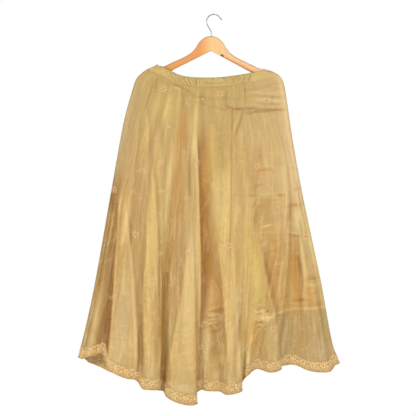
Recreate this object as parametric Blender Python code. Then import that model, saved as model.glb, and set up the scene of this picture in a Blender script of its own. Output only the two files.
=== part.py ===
"""A lined, flared lehenga skirt hanging from a wooden hanger, in metres, +Z up.

The origin is where the wire hook rests on a rail: the underside of the wire at the top of its bend.
The cloth is a tube of walls. Its front and back faces are each worked out as rows of points from the
waist to the hem, with folds that deepen downwards, and each face is cut into four gores at its seams.
Tables are in millimetres, with X to the right, Y away from the viewer and Z up.
"""

import bisect
import math

import bmesh
import bpy
import numpy as np
from mathutils import Matrix, Vector

MM = 0.001
COLLECTION_NAME = "lehenga_skirt_on_hanger"

# Cloth walls and the gaps between them
WALL = 1.0
SEAM_GAP = 0.3
OUTER_OFFSET = 1.2
LINING_OFFSET = -0.7
LINING_DROP = 2.0
BAND_WALL = 2.6
BAND_OFFSET = 0.3
BAND_HEIGHT = 30.0
BAND_CLEAR = 5.0
BORDER_HEIGHT = 36.0
SKIRT_LENGTH = 1000.0
BORDER_OFFSET = OUTER_OFFSET + WALL + SEAM_GAP

# Side lines of the cloth from the front, from the waist over the hanger's arm and down to the hem: x, z
LEFT_SIDE = (
    (-171, -154), (-195, -163), (-217, -177), (-234, -194), (-244, -219),
    (-272, -321), (-311, -534), (-369, -858), (-412, -1045),
)
RIGHT_SIDE = (
    (172, -167), (192, -180), (207, -197), (214, -217), (222, -265),
    (237, -367), (268, -541), (325, -812), (360, -1000), (382, -1062),
)

# Top edge of the waistband at the front, where it sags between the hanger's arms: x, z
WAIST_EDGE = (
    (-171, -154),
    (-134, -170),
    (-105, -184),
    (-70, -191),
    (-33, -193),
    (16, -192),
    (66, -186),
    (113, -178),
    (150, -171),
    (172, -167),
)
BACK_WAIST_DROP = 3.0

# How far the smooth cloth stands off the middle plane at each height: z, at the sides, in the middle
DEPTHS = (
    (-1200, 17.0, 30.0),
    (-1067, 16.0, 28.0),
    (-600, 12.0, 24.0),
    (-320, 9.6, 20.0),
    (-230, 8.5, 17.0),
    (-150, 8.5, 13.0),
)

# One row a fold. waist and mid are where its crest starts and passes; left, right and their heights are
# its corners at the hem; drop lowers the crest between them; crest and valley stand off the smooth cloth,
# the valley being the one to the right; tuck is how far the right edge overhangs it; start is where the
# fold begins, as a share of the length.
FOLD_COLUMNS = ("name", "waist", "mid", "left", "right", "left_z", "right_z", "drop",
                "crest", "valley", "valley_z", "tuck", "start")
FRONT_FOLDS = (
    ("corner_left", -148, -286, -392, -358, -1043, -1034, 0, 22, 5, -1030, 0, 0.35),
    ("broad_left", -128, -240, -318, -240, -1077, -1105, 6, 34, 20, -1118, 0, 0.30),
    ("strip", -100, -180, -212, -162, -1134, -1137, 0, 42, 8, -1143, 7, 0.28),
    ("longest", -58, -90, -140, -52, -1157, -1175, 9, 54, 8, -1138, 10, 0.12),
    ("shallow", -4, -2, -24, 12, -1141, -1142, 0, 18, 12, -1145, 0, 0.45),
    ("seam_ridge", 76, 76, 36, 83, -1150, -1138, 3, 42, 14, -1110, 4, 0.10),
    ("narrow", 103, 154, 95, 109, -1102, -1086, 0, 24, 8, -1076, 0, 0.50),
    ("right_edge", 126, 218, 150, 202, -1079, -1073, 7, 38, 8, -1064, 2, 0.20),
    ("corner_right", 148, 250, 285, 352, -1080, -1084, 3, 26, 5, -1072, 0, 0.30),
)
BACK_FOLDS = (
    ("back_1", -148, -284, -384, -324, -1064, -1092, 0, 26, 5, -1094, 0, 0.30),
    ("back_2", -112, -218, -294, -234, -1096, -1104, 4, 42, 8, -1108, 5, 0.20),
    ("back_3", -66, -130, -200, -124, -1120, -1130, 0, 38, 8, -1132, 0, 0.35),
    ("back_4", -16, -40, -92, -22, -1134, -1136, 2, 50, 10, -1132, 7, 0.15),
    ("back_5", 36, 48, 14, 80, -1132, -1122, 0, 36, 8, -1108, 0, 0.30),
    ("back_6", 84, 136, 116, 184, -1080, -1072, 2, 44, 8, -1064, 5, 0.20),
    ("back_7", 122, 202, 222, 284, -1058, -1056, 0, 30, 6, -1058, 0, 0.30),
    ("back_8", 148, 248, 312, 348, -1064, -1068, 2, 20, 5, -1066, 0, 0.40),
)
MID_LEVEL = 0.42
END_ROOM = {"waist": 7, "mid": 8}
SIDE_CARRY_POWER = 4

# Gores: each ends where the named fold begins, and the last at the side line
FRONT_GORES = (
    ("gore_front_left", "strip"),
    ("gore_front_mid_left", "seam_ridge"),
    ("gore_front_mid_right", "right_edge"),
    ("gore_front_right", None),
)
BACK_GORES = (
    ("gore_back_left", "back_3"),
    ("gore_back_mid_left", "back_5"),
    ("gore_back_mid_right", "back_7"),
    ("gore_back_right", None),
)
# The waistband's pieces, seamed in line with the gores in the same way
FRONT_BAND = (("waistband_front_left", "seam_ridge"), ("waistband_front_right", None))
BACK_BAND = (("waistband_back_left", "back_5"), ("waistband_back_right", None))

# Rows of points down the outer cloth, as shares of the length below the waistband
OUTER_ROWS = (0.0, 0.026, 0.052, 0.085, 0.17, 0.30, 0.44, 0.58, 0.72, 0.85)
LINING_ROWS = (0.0, 0.026, 0.052, 0.085, 0.17, 0.32, 0.50, 0.68, 0.84, 1.0)
ROUND_ANGLES = (30.0, 60.0, 90.0)
POINTS_PER_GAP = 2
FOLD_GROWTH = 1.25

# The lining hangs inside and ends above the hem: x at the hem, share of the length that it covers
LINING_LINES = 15
LINING_ROOM = 22
FRONT_LINING_ENDS = ((-412, 0.93), (-200, 0.925), (20, 0.91), (110, 0.88), (210, 0.815), (381, 0.80))
BACK_LINING_ENDS = ((-412, 0.925), (0, 0.92), (381, 0.925))
# Where the hem lies on the whole, without its folds: x, z
HEM_LINE = (
    (-412, -1045), (-300, -1085), (-170, -1138), (-20, -1150), (80, -1135), (200, -1078), (381, -1062),
)

# Hanger: half of its outline from the middle to the tip, as x, z, and the wire hook
HANGER_MIDDLE_X = -7.5
HANGER_TILT = 0.9
HANGER_THICKNESS = 13.0
HANGER_EDGE_RADIUS = 3.0
HANGER_TOP = (
    (0, -65), (13, -67), (26, -74), (38, -86), (49, -104), (62, -118), (85, -132),
    (113, -145), (146, -160.5), (163, -162.5), (180, -168), (198, -180), (207, -190), (212, -200),
)
HANGER_TIP = ((214.5, -208), (212, -216), (205, -219))
HANGER_TIP_RUN = 8
HANGER_CROTCH_Z = -110
HANGER_ARM_SLOPE = 27.4
WIRE_DIAMETER = 3.2
HOOK_RADIUS = 22.0
HOOK_BACK_ANGLE = 200.0
HOOK_MOUTH_ANGLE = 40.0
HOOK_STEPS = 14
HOOK_TIP_LENGTH = 12.0
HOOK_NECK_BEND_Z = -54.0
HOOK_SLANT = ((1.5, 5), (5, 11))
HOOK_DEPTH_IN_WOOD = 14.0
HOOK_HOLE_GAP = 0.35

# Colours as linear values, with roughness and metallic
GOLD_TISSUE = ("gold_tissue", (0.60, 0.42, 0.16), 0.42, 0.35)
LINING_SATIN = ("lining_satin", (0.58, 0.38, 0.15), 0.5, 0.1)
FLORAL_LACE = ("floral_lace", (0.74, 0.46, 0.22), 0.6, 0.1)
PALE_WOOD = ("pale_wood", (0.72, 0.38, 0.15), 0.38, 0.0)
STEEL_WIRE = ("steel_wire", (0.45, 0.45, 0.45), 0.25, 1.0)


def through(knots, values, at):
    """The value at one place on a smooth curve through the values at rising knots."""
    last = len(knots) - 1
    i = min(max(bisect.bisect_right(knots, at) - 1, 0), last - 1)
    span = knots[i + 1] - knots[i]
    s = min(max((at - knots[i]) / span, 0.0), 1.0)

    def slope(j):
        a, b = max(j - 1, 0), min(j + 1, last)
        return (values[b] - values[a]) / (knots[b] - knots[a])

    rise = values[i] * (2 * s**3 - 3 * s**2 + 1) + values[i + 1] * (3 * s**2 - 2 * s**3)
    return rise + span * (slope(i) * (s**3 - 2 * s**2 + s) + slope(i + 1) * (s**3 - s**2))


def on_table(table, at):
    """The other columns of a table, read smoothly at a value of its first column."""
    knots = [row[0] for row in table]
    values = [np.array(row[1:], float) for row in table]
    return through(knots, values, at)


def on_side(side, v):
    """X and Z of a side line at a share of its length."""
    corners = np.array(side, float)
    lengths = np.concatenate([[0.0], np.cumsum(np.linalg.norm(np.diff(corners, axis=0), axis=1))])
    return through(lengths / lengths[-1], corners, v)


def side_x_at(side, z):
    """X of a side line at one height, and the cosine of its lean."""
    rows = sorted((z, x) for x, z in side)
    step = 2.0
    low, x, high = (float(on_table(rows, z + dz)[0]) for dz in (-step, 0.0, step))
    lean = (high - low) / (2 * step)
    return x, 1 / math.hypot(1, lean)


def smooth_depth(x, z):
    """How far the unfolded cloth stands off the middle plane: rounded at both sides, fuller between."""
    side_depth, middle_depth = (float(d) for d in on_table(DEPTHS, z))
    left_x, left_cos = side_x_at(LEFT_SIDE, z)
    right_x, right_cos = side_x_at(RIGHT_SIDE, z)
    inward = max(min((x - left_x) * left_cos, (right_x - x) * right_cos), 0.0)
    rounding = min(inward / side_depth, 1.0)
    across = (2 * x - left_x - right_x) / (right_x - left_x)
    fullness = (middle_depth - side_depth) * max(1 - across**2, 0.0) ** 2
    return side_depth * math.sqrt(1 - (1 - rounding) ** 2) + fullness


def fold_lines(folds):
    """The lines down one face, in order, and the fold that each belongs to.

    A line is its X at the waist, halfway and at the hem, its hem height, its stand-off and where it starts.
    """
    rows = [dict(zip(FOLD_COLUMNS, row)) for row in folds]
    lines, names = [], []
    valley_before = 0.0
    for i, fold in enumerate(rows):
        before = rows[i - 1] if i else None
        after = rows[i + 1] if i + 1 < len(rows) else None
        crest, valley = fold["crest"], fold["valley"]
        # Place from the valley before (-1) through the crest (0) to the valley after (1); share of the
        # way from the left corner to the right one; stand-off; share of the drop
        shape = [
            (-0.60, 0.00, valley_before + 0.55 * (crest - valley_before), 0.0),
            (-0.20, 0.30, crest, 0.8),
            (0.25, 0.72, 0.97 * crest, 1.0),
            (0.60, 1.00, valley + 0.60 * (crest - valley), 0.2),
        ]
        for place, along, stand_off, sag in shape:
            x = fold["left"] + (fold["right"] - fold["left"]) * along
            z = fold["left_z"] + (fold["right_z"] - fold["left_z"]) * along - fold["drop"] * sag
            lines.append((*upper_x(before, fold, after, place), x, z, stand_off, fold["start"]))
        if fold["tuck"]:
            stand_off = valley + 0.18 * (crest - valley)
            z = (fold["right_z"] + fold["valley_z"]) / 2
            lines.append((*upper_x(before, fold, after, 0.8), fold["right"] - fold["tuck"], z, stand_off,
                          fold["start"]))
        if after:
            x = (fold["right"] + after["left"]) / 2
            start = min(fold["start"], after["start"])
            lines.append((*upper_x(before, fold, after, 1.0), x, fold["valley_z"], valley, start))
        names += [fold["name"]] * (len(lines) - len(names))
        valley_before = valley
    return lines, names


def upper_x(before, fold, after, place):
    """X at the waist and halfway of a line placed between a fold's crest and its neighbours' valleys."""
    found = []
    for level_name in ("waist", "mid"):
        crest = fold[level_name]
        other = before if place < 0 else after
        room = (other[level_name] - crest) / 2 if other else math.copysign(END_ROOM[level_name], place)
        found.append(crest + room * abs(place))
    return found


def line_path(waist_x, mid_x, hem_x, hem_z, drop):
    """A function that gives a line's X and Z at each share of its length, and that length."""
    waist_z = float(on_table(WAIST_EDGE, waist_x)[0]) - drop
    share = (waist_x - WAIST_EDGE[0][0]) / (WAIST_EDGE[-1][0] - WAIST_EDGE[0][0])
    carried = ((LEFT_SIDE, (1 - share) ** SIDE_CARRY_POWER), (RIGHT_SIDE, share**SIDE_CARRY_POWER))

    def at(v):
        x = three_level(waist_x, mid_x, hem_x, v)
        z = waist_z + (hem_z - waist_z) * v
        for side, amount in carried:
            side_x, side_z = on_side(side, v)
            x += amount * (side_x - three_level(side[0][0], on_side(side, MID_LEVEL)[0], side[-1][0], v))
            z += amount * (side_z - side[0][1] - (side[-1][1] - side[0][1]) * v)
        return x, z

    return at, math.hypot(hem_x - waist_x, hem_z - waist_z)


def three_level(waist, mid, hem, v):
    return through((0.0, MID_LEVEL, 1.0), (waist, mid, hem), v)


def round_lines(side, v, z_turn):
    """Points round the side of the tube at one level: the side line itself, then its offsets inwards."""
    here = on_side(side, v)
    step = 0.01
    ahead = on_side(side, min(v + step, 1.0)) - on_side(side, max(v - step, 0.0))
    ahead /= np.linalg.norm(ahead)
    inward = np.array([-ahead[1], ahead[0]]) * z_turn
    depth = float(on_table(DEPTHS, here[1])[0])
    points = [here]
    for angle in ROUND_ANGLES:
        points.append(here + inward * depth * (1 - math.cos(math.radians(angle))))
    return points


def side_length(side):
    return float(np.linalg.norm(np.diff(np.array(side, float), axis=0), axis=1).sum())


def level(length, share, top, end=1.0):
    """A share of a line's whole length, from a share of the stretch between top, in mm, and end."""
    return top / length + (end - top / length) * share


def face_grid(folds, rows, facing, top=BAND_HEIGHT):
    """Points of a face in mm, row by row and column by column; facing is -1 at the front, 1 at the back."""
    drop = BACK_WAIST_DROP if facing > 0 else 0.0
    lines = fold_lines(folds)[0]
    paths = [line_path(*line[:4], drop) for line in lines]
    grid = []
    for share in rows:
        left = round_lines(LEFT_SIDE, level(side_length(LEFT_SIDE), share, top), 1)
        right = round_lines(RIGHT_SIDE, level(side_length(RIGHT_SIDE), share, top), -1)
        body = []
        for (path, length), (*_, stand_off, start) in zip(paths, lines):
            v = level(length, share, top)
            growth = max((v - start) / (1 - start), 0.0) ** FOLD_GROWTH
            body.append(np.array([*path(v), stand_off * growth]))
        steps = [np.linalg.norm(b - a) for a, b in zip(body, body[1:])]
        chords = np.concatenate([[0.0], np.cumsum(steps)])
        line = [(x, z, 0.0) for x, z in left]
        for i in range(len(body) - 1):
            for k in range(POINTS_PER_GAP):
                line.append(through(chords, body, chords[i] + steps[i] * k / POINTS_PER_GAP))
        line.append(body[-1])
        line += [(x, z, 0.0) for x, z in reversed(right)]
        depths = [smooth_depth(x, z) + max(stand_off, 0.0) for x, z, stand_off in line]
        depths[0] = depths[-1] = 0.0
        grid.append([(x, facing * depth, z) for (x, z, _), depth in zip(line, depths)])
    return np.array(grid)


def grid_normals(grid, facing):
    """Outward unit normals of a face's points; at the side lines they lie in the middle plane."""
    across = np.gradient(grid, axis=1)
    down = np.gradient(grid, axis=0)
    normals = np.cross(across, down) * facing
    normals[:, [0, -1], 1] = 0.0
    return normals / np.linalg.norm(normals, axis=2, keepdims=True)


def part_columns(grid, first, last):
    """The columns of one gore, its edges drawn in by half the seam gap."""
    cut = grid[:, first : last + 1].copy()
    for edge, inner in ((0, 1), (-1, -2)):
        towards = cut[:, inner] - cut[:, edge]
        cut[:, edge] += towards / np.linalg.norm(towards, axis=1, keepdims=True) * SEAM_GAP / 2
    return cut


def wall_object(name, grid, normals, thickness, material, collection):
    """A closed cloth wall with the grid of points at its middle, lofted row by row."""
    rows, columns = grid.shape[:2]
    mesh = bmesh.new()
    sheets = []
    for side in (0.5, -0.5):
        moved = (grid + normals * thickness * side) * MM
        sheets.append([[mesh.verts.new(point) for point in line] for line in moved])
    outer, inner = sheets
    for sheet in sheets:
        for r in range(rows - 1):
            for c in range(columns - 1):
                a, b = sheet[r][c], sheet[r][c + 1]
                d, e = sheet[r + 1][c], sheet[r + 1][c + 1]
                mesh.faces.new((a, b, e))
                mesh.faces.new((a, e, d))
    rim = [(r, 0) for r in range(rows)]
    rim += [(rows - 1, c) for c in range(1, columns)]
    rim += [(r, columns - 1) for r in range(rows - 2, -1, -1)]
    rim += [(0, c) for c in range(columns - 2, 0, -1)]
    for (r, c), (r2, c2) in zip(rim, rim[1:] + rim[:1]):
        mesh.faces.new((outer[r][c], outer[r2][c2], inner[r2][c2], inner[r][c]))
    bmesh.ops.recalc_face_normals(mesh, faces=mesh.faces)
    return mesh_object(name, mesh, material, collection)


def mesh_object(name, mesh, material, collection):
    data = bpy.data.meshes.new(name)
    mesh.to_mesh(data)
    mesh.free()
    data.shade_smooth()
    data.set_sharp_from_angle(angle=math.radians(50))
    data.materials.append(material)
    made = bpy.data.objects.new(name, data)
    collection.objects.link(made)
    return made


def principled(finish):
    name, colour, roughness, metallic = finish
    material = bpy.data.materials.new(name)
    material.use_nodes = True
    shader = material.node_tree.nodes["Principled BSDF"]
    shader.inputs["Base Color"].default_value = (*colour, 1.0)
    shader.inputs["Roughness"].default_value = roughness
    shader.inputs["Metallic"].default_value = metallic
    return material


def gore_column(folds, name):
    """The column where the named fold's first line lies: one past the valley that comes before it."""
    names = fold_lines(folds)[1]
    return 1 + len(ROUND_ANGLES) + names.index(name) * POINTS_PER_GAP


def build_gores_and_border(folds, gores, facing, border_name, cloth, lace, collection):
    """The gores of one face, and the lace strip on their hem."""
    hem_share = 1 - BORDER_HEIGHT / (SKIRT_LENGTH - BAND_HEIGHT)
    smooth = face_grid(folds, (*OUTER_ROWS, hem_share, 1.0), facing)
    normals = grid_normals(smooth, facing)
    outer = smooth + normals * OUTER_OFFSET
    down = outer[1] - outer[0]
    outer[0] += down / np.linalg.norm(down, axis=1, keepdims=True) * SEAM_GAP / 2
    first = 0
    for name, next_fold in gores:
        last = gore_column(folds, next_fold) if next_fold else outer.shape[1] - 1
        cut = part_columns(outer, first, last)
        wall_object(name, cut, normals[:, first : last + 1], WALL, cloth, collection)
        first = last
    lace_grid = smooth[-2:] + normals[-2:] * BORDER_OFFSET
    strip = part_columns(lace_grid, 0, lace_grid.shape[1] - 1)
    wall_object(border_name, strip, normals[-2:], WALL, lace, collection)


def build_waistband(folds, pieces, facing, cloth, collection):
    """The waistband's casing along the top edge of one face, seamed in line with a gore."""
    tops = (0.0, BAND_HEIGHT, BAND_HEIGHT + BAND_CLEAR)
    grid = np.concatenate([face_grid(folds, (0.0,), facing, top) for top in tops])
    normals = grid_normals(grid, facing)[:2]
    band = grid[:2] + normals * BAND_OFFSET
    up = band[0] - band[1]
    band[1] += up / np.linalg.norm(up, axis=1, keepdims=True) * SEAM_GAP / 2
    first = 0
    for name, next_fold in pieces:
        last = gore_column(folds, next_fold) if next_fold else band.shape[1] - 1
        cut = part_columns(band, first, last)
        wall_object(name, cut, normals[:, first : last + 1], BAND_WALL, cloth, collection)
        first = last


def build_lining(ends, facing, name, satin, collection):
    """One half of the lining: smooth cloth just inside the gores, ending above their hem."""
    top = BAND_HEIGHT + LINING_DROP
    drop = BACK_WAIST_DROP if facing > 0 else 0.0
    left_mid, right_mid = (float(on_side(side, MID_LEVEL)[0]) for side in (LEFT_SIDE, RIGHT_SIDE))
    spans = (
        (LEFT_SIDE[0][0] + LINING_ROOM, RIGHT_SIDE[0][0] - LINING_ROOM),
        (left_mid + LINING_ROOM, right_mid - LINING_ROOM),
        (LEFT_SIDE[-1][0] + LINING_ROOM, RIGHT_SIDE[-1][0] - LINING_ROOM),
    )
    grid = []
    for share in LINING_ROWS:
        rounds = []
        for side, turn in ((LEFT_SIDE, 1), (RIGHT_SIDE, -1)):
            end = float(on_table(ends, side[-1][0])[0])
            rounds.append(round_lines(side, level(side_length(side), share, top, end), turn))
        body = []
        for i in range(LINING_LINES):
            waist_x, mid_x, hem_x = (a + (b - a) * i / (LINING_LINES - 1) for a, b in spans)
            path, length = line_path(waist_x, mid_x, hem_x, float(on_table(HEM_LINE, hem_x)[0]), drop)
            body.append(path(level(length, share, top, float(on_table(ends, hem_x)[0]))))
        line = [*rounds[0], *body, *rounds[1][::-1]]
        depths = [smooth_depth(x, z) for x, z in line]
        depths[0] = depths[-1] = 0.0
        grid.append([(x, facing * depth, z) for (x, z), depth in zip(line, depths)])
    grid = np.array(grid)
    normals = grid_normals(grid, facing)
    hung = part_columns(grid + normals * LINING_OFFSET, 0, grid.shape[1] - 1)
    wall_object(name, hung, normals, WALL, satin, collection)


def hanger_outline():
    """The hanger's outline as a closed loop, level and centred on its own middle."""
    arm_x = HANGER_TIP[-1][0] - HANGER_TIP_RUN
    arm_z = HANGER_CROTCH_Z - math.tan(math.radians(HANGER_ARM_SLOPE)) * arm_x
    half = [*HANGER_TOP, *HANGER_TIP, (arm_x, arm_z)]
    left = [(-x, z) for x, z in half[:0:-1]]
    return [*half, (0, HANGER_CROTCH_Z), *left]


def build_hanger(wood, collection):
    """A flat wooden hanger with rounded edges, drilled at the top for the hook."""
    mesh = bmesh.new()
    half = HANGER_THICKNESS / 2
    loop = [mesh.verts.new(Vector((x, -half, z)) * MM) for x, z in hanger_outline()]
    plate = mesh.faces.new(loop)
    grown = bmesh.ops.extrude_face_region(mesh, geom=[plate])
    moved = [v for v in grown["geom"] if isinstance(v, bmesh.types.BMVert)]
    bmesh.ops.translate(mesh, verts=moved, vec=Vector((0, HANGER_THICKNESS * MM, 0)))
    bmesh.ops.recalc_face_normals(mesh, faces=mesh.faces)
    rims = [e for e in mesh.edges if abs(e.verts[0].co.y - e.verts[1].co.y) < MM / 10]
    bmesh.ops.bevel(mesh, geom=rims, offset=HANGER_EDGE_RADIUS * MM, segments=2, profile=0.5,
                    affect="EDGES", material=-1)
    pivot = Matrix.Translation(Vector((HANGER_MIDDLE_X, 0, HANGER_TOP[0][1])) * MM)
    tilt = Matrix.Rotation(math.radians(HANGER_TILT), 4, "Y")
    lift = Matrix.Translation(Vector((0, 0, -HANGER_TOP[0][1])) * MM)
    bmesh.ops.transform(mesh, verts=mesh.verts, matrix=pivot @ tilt @ lift)
    bmesh.ops.recalc_face_normals(mesh, faces=mesh.faces)
    hanger = mesh_object("hanger", mesh, wood, collection)
    hole = bmesh.new()
    radius = (WIRE_DIAMETER / 2 + HOOK_HOLE_GAP) * MM
    depth = (HOOK_DEPTH_IN_WOOD + 1) * MM
    bmesh.ops.create_cone(hole, cap_ends=True, segments=16, radius1=radius, radius2=radius, depth=2 * depth)
    bmesh.ops.translate(hole, verts=hole.verts, vec=Vector((HANGER_MIDDLE_X, 0, HANGER_TOP[0][1])) * MM)
    cutters = bpy.data.collections.new("cutters")
    bpy.context.scene.collection.children.link(cutters)
    cutter = mesh_object("hook_hole_cutter", hole, wood, cutters)
    cutter.hide_render = True
    cutter.display_type = "WIRE"
    drill = hanger.modifiers.new("hook_hole", "BOOLEAN")
    drill.operation = "DIFFERENCE"
    drill.object = cutter


def build_hook(steel, collection):
    """The wire hook: a neck in the wood, a slant to the left, an open bend and a straight tip."""
    centre_z = WIRE_DIAMETER / 2 - HOOK_RADIUS
    points = [(HANGER_MIDDLE_X, HANGER_TOP[0][1] - HOOK_DEPTH_IN_WOOD)]
    points += [(HANGER_MIDDLE_X, z) for z in (HANGER_TOP[0][1], HOOK_NECK_BEND_Z)]
    points += [(HANGER_MIDDLE_X - x, HOOK_NECK_BEND_Z + z) for x, z in HOOK_SLANT]
    for i in range(HOOK_STEPS + 1):
        angle = math.radians(HOOK_BACK_ANGLE + (HOOK_MOUTH_ANGLE - HOOK_BACK_ANGLE) * i / HOOK_STEPS)
        points.append((HOOK_RADIUS * math.cos(angle), centre_z + HOOK_RADIUS * math.sin(angle)))
    slope = math.radians(HOOK_MOUTH_ANGLE)
    x, z = points[-1]
    points.append((x + HOOK_TIP_LENGTH * math.sin(slope), z - HOOK_TIP_LENGTH * math.cos(slope)))
    curve = bpy.data.curves.new("hook", "CURVE")
    curve.dimensions = "3D"
    curve.bevel_depth = WIRE_DIAMETER / 2 * MM
    curve.bevel_resolution = 3
    curve.use_fill_caps = True
    spline = curve.splines.new("POLY")
    spline.points.add(len(points) - 1)
    for point, (x, z) in zip(spline.points, points):
        point.co = (x * MM, 0, z * MM, 1)
    curve.materials.append(steel)
    hook = bpy.data.objects.new("hook", curve)
    collection.objects.link(hook)


def main():
    for old in list(bpy.data.objects):
        bpy.data.objects.remove(old)
    collection = bpy.data.collections.new(COLLECTION_NAME)
    bpy.context.scene.collection.children.link(collection)
    cloth, satin, lace, wood, steel = (
        principled(f) for f in (GOLD_TISSUE, LINING_SATIN, FLORAL_LACE, PALE_WOOD, STEEL_WIRE)
    )
    build_gores_and_border(FRONT_FOLDS, FRONT_GORES, -1, "hem_lace_front", cloth, lace, collection)
    build_gores_and_border(BACK_FOLDS, BACK_GORES, 1, "hem_lace_back", cloth, lace, collection)
    build_waistband(FRONT_FOLDS, FRONT_BAND, -1, cloth, collection)
    build_waistband(BACK_FOLDS, BACK_BAND, 1, cloth, collection)
    build_lining(FRONT_LINING_ENDS, -1, "lining_front", satin, collection)
    build_lining(BACK_LINING_ENDS, 1, "lining_back", satin, collection)
    build_hanger(wood, collection)
    build_hook(steel, collection)


main()
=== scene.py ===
# Gold tissue lehenga skirt hanging on a wooden hanger: the looks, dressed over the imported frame.
# Shape tables are in millimetres: X right, Z up, Y away from the viewer, origin where the hook rests.

import math

import bmesh
import bpy
import numpy as np
from mathutils import Matrix, Vector


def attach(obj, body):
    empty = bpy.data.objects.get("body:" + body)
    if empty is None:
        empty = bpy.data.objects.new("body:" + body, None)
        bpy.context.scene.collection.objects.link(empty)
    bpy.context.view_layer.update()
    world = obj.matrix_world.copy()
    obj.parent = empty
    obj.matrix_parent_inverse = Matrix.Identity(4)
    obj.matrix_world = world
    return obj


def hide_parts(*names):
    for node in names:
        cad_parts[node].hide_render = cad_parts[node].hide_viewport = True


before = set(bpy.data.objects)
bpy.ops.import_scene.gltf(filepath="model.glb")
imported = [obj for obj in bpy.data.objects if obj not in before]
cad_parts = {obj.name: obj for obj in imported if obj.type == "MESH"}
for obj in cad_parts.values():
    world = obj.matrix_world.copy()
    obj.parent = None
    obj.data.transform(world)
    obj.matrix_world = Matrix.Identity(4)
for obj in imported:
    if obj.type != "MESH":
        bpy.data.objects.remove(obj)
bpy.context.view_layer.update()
print("frame loaded,", len(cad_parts), "nodes")

mm = 0.001


def linear(red, green, blue):
    # a colour picked on the screen, 0 to 255, as the shader wants it
    shares = (c / 255 for c in (red, green, blue))
    return tuple(((c + 0.055) / 1.055) ** 2.4 if c > 0.04 else c / 12.92 for c in shares)


# camera level with the middle of the skirt, as in the photograph
cameraSet = {"place": (-0.0177, -4.0, -0.589), "lens": 113.5, "sensor": 36.0}


def addCamera():
    data = bpy.data.cameras.new("studioCamera")
    data.lens = cameraSet["lens"]
    data.sensor_width = cameraSet["sensor"]
    camera = bpy.data.objects.new("studioCamera", data)
    camera.location = cameraSet["place"]
    camera.rotation_euler = (math.radians(90), 0, 0)
    bpy.context.scene.collection.objects.link(camera)
    bpy.context.scene.camera = camera


addCamera()
print("camera placed")

# the cloth's form: its outline, and how the folds grow out of it
skirt = {
    "leftSide": [(-171, -154), (-195, -163), (-217, -177), (-234, -194), (-244, -219),
                 (-272, -321), (-311, -534), (-369, -858), (-412, -1045)],
    "rightSide": [(172, -167), (192, -180), (207, -197), (214, -217), (222, -265),
                  (237, -367), (268, -541), (325, -812), (360, -1000), (382, -1062)],
    "waistEdge": [(-171, -154), (-134, -170), (-105, -184), (-70, -191), (-33, -193),
                  (16, -192), (66, -186), (113, -178), (150, -171), (172, -167)],
    "depths": [(-1200, 17, 30), (-1067, 16, 28), (-600, 12, 24), (-320, 9.6, 20), (-230, 8.5, 17),
               (-150, 8.5, 13)],  # Z, how far it stands off at the sides and in the middle
    "backDrop": 3.0,  # the back of the waist hangs this much lower
    "bandHeight": 30.0,
    "underBand": 4.0,  # how far the cloth reaches up under the casing
    "outerOffset": 1.2,
    "midLevel": 0.42,  # share of the way down where a fold's mid X is given
    "endRoom": (7, 8),  # beyond the outermost folds, at the waist and at mid level
    "carryPower": 4,  # how quickly a side's curve dies away towards the middle
    "growth": 1.25,
    "rows": 236,
    "perGap": 6,  # columns from one line to the next
    "roundSteps": 6,
}
foldColumns = ("name", "waist", "mid", "left", "right", "leftZ", "rightZ", "drop", "crest", "valley",
               "valleyZ", "tuck", "start")
# where the lines of one fold run: place from its middle, share across its hem, stand-off, how much it sags;
# the stand-off is a share of the crest, between a level below it and the crest itself
foldShape = [(-0.60, 0.00, 0.55, 0.0), (-0.20, 0.30, 1.0, 0.8), (0.25, 0.72, 0.97, 1.0),
             (0.60, 1.00, 0.60, 0.2)]
tuckAt = {"place": 0.8, "standOff": 0.18}
frontFolds = [
    ("cornerLeft", -148, -286, -392, -358, -1043, -1034, 0, 22, 5, -1030, 0, 0.35),
    ("broadLeft", -128, -240, -318, -240, -1077, -1105, 6, 34, 20, -1118, 0, 0.30),
    ("strip", -100, -180, -212, -162, -1134, -1137, 0, 42, 8, -1143, 7, 0.28),
    ("longest", -58, -90, -140, -52, -1157, -1175, 9, 54, 8, -1138, 10, 0.12),
    ("shallow", -4, -2, -24, 12, -1141, -1142, 0, 18, 12, -1145, 0, 0.45),
    ("seamRidge", 76, 76, 36, 83, -1150, -1138, 3, 42, 14, -1110, 4, 0.10),
    ("narrow", 103, 154, 95, 109, -1102, -1086, 0, 24, 8, -1076, 0, 0.50),
    ("rightEdge", 126, 218, 150, 202, -1079, -1073, 7, 38, 8, -1064, 2, 0.20),
    ("cornerRight", 148, 250, 285, 352, -1080, -1084, 3, 26, 5, -1072, 0, 0.30),
]
backFolds = [
    ("back1", -148, -284, -384, -324, -1064, -1092, 0, 26, 5, -1094, 0, 0.30),
    ("back2", -112, -218, -294, -234, -1096, -1104, 4, 42, 8, -1108, 5, 0.20),
    ("back3", -66, -130, -200, -124, -1120, -1130, 0, 38, 8, -1132, 0, 0.35),
    ("back4", -16, -40, -92, -22, -1134, -1136, 2, 50, 10, -1132, 7, 0.15),
    ("back5", 36, 48, 14, 80, -1132, -1122, 0, 36, 8, -1108, 0, 0.30),
    ("back6", 84, 136, 116, 184, -1080, -1072, 2, 44, 8, -1064, 5, 0.20),
    ("back7", 122, 202, 222, 284, -1058, -1056, 0, 30, 6, -1058, 0, 0.30),
    ("back8", 148, 248, 312, 348, -1064, -1068, 2, 20, 5, -1066, 0, 0.40),
]


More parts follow.
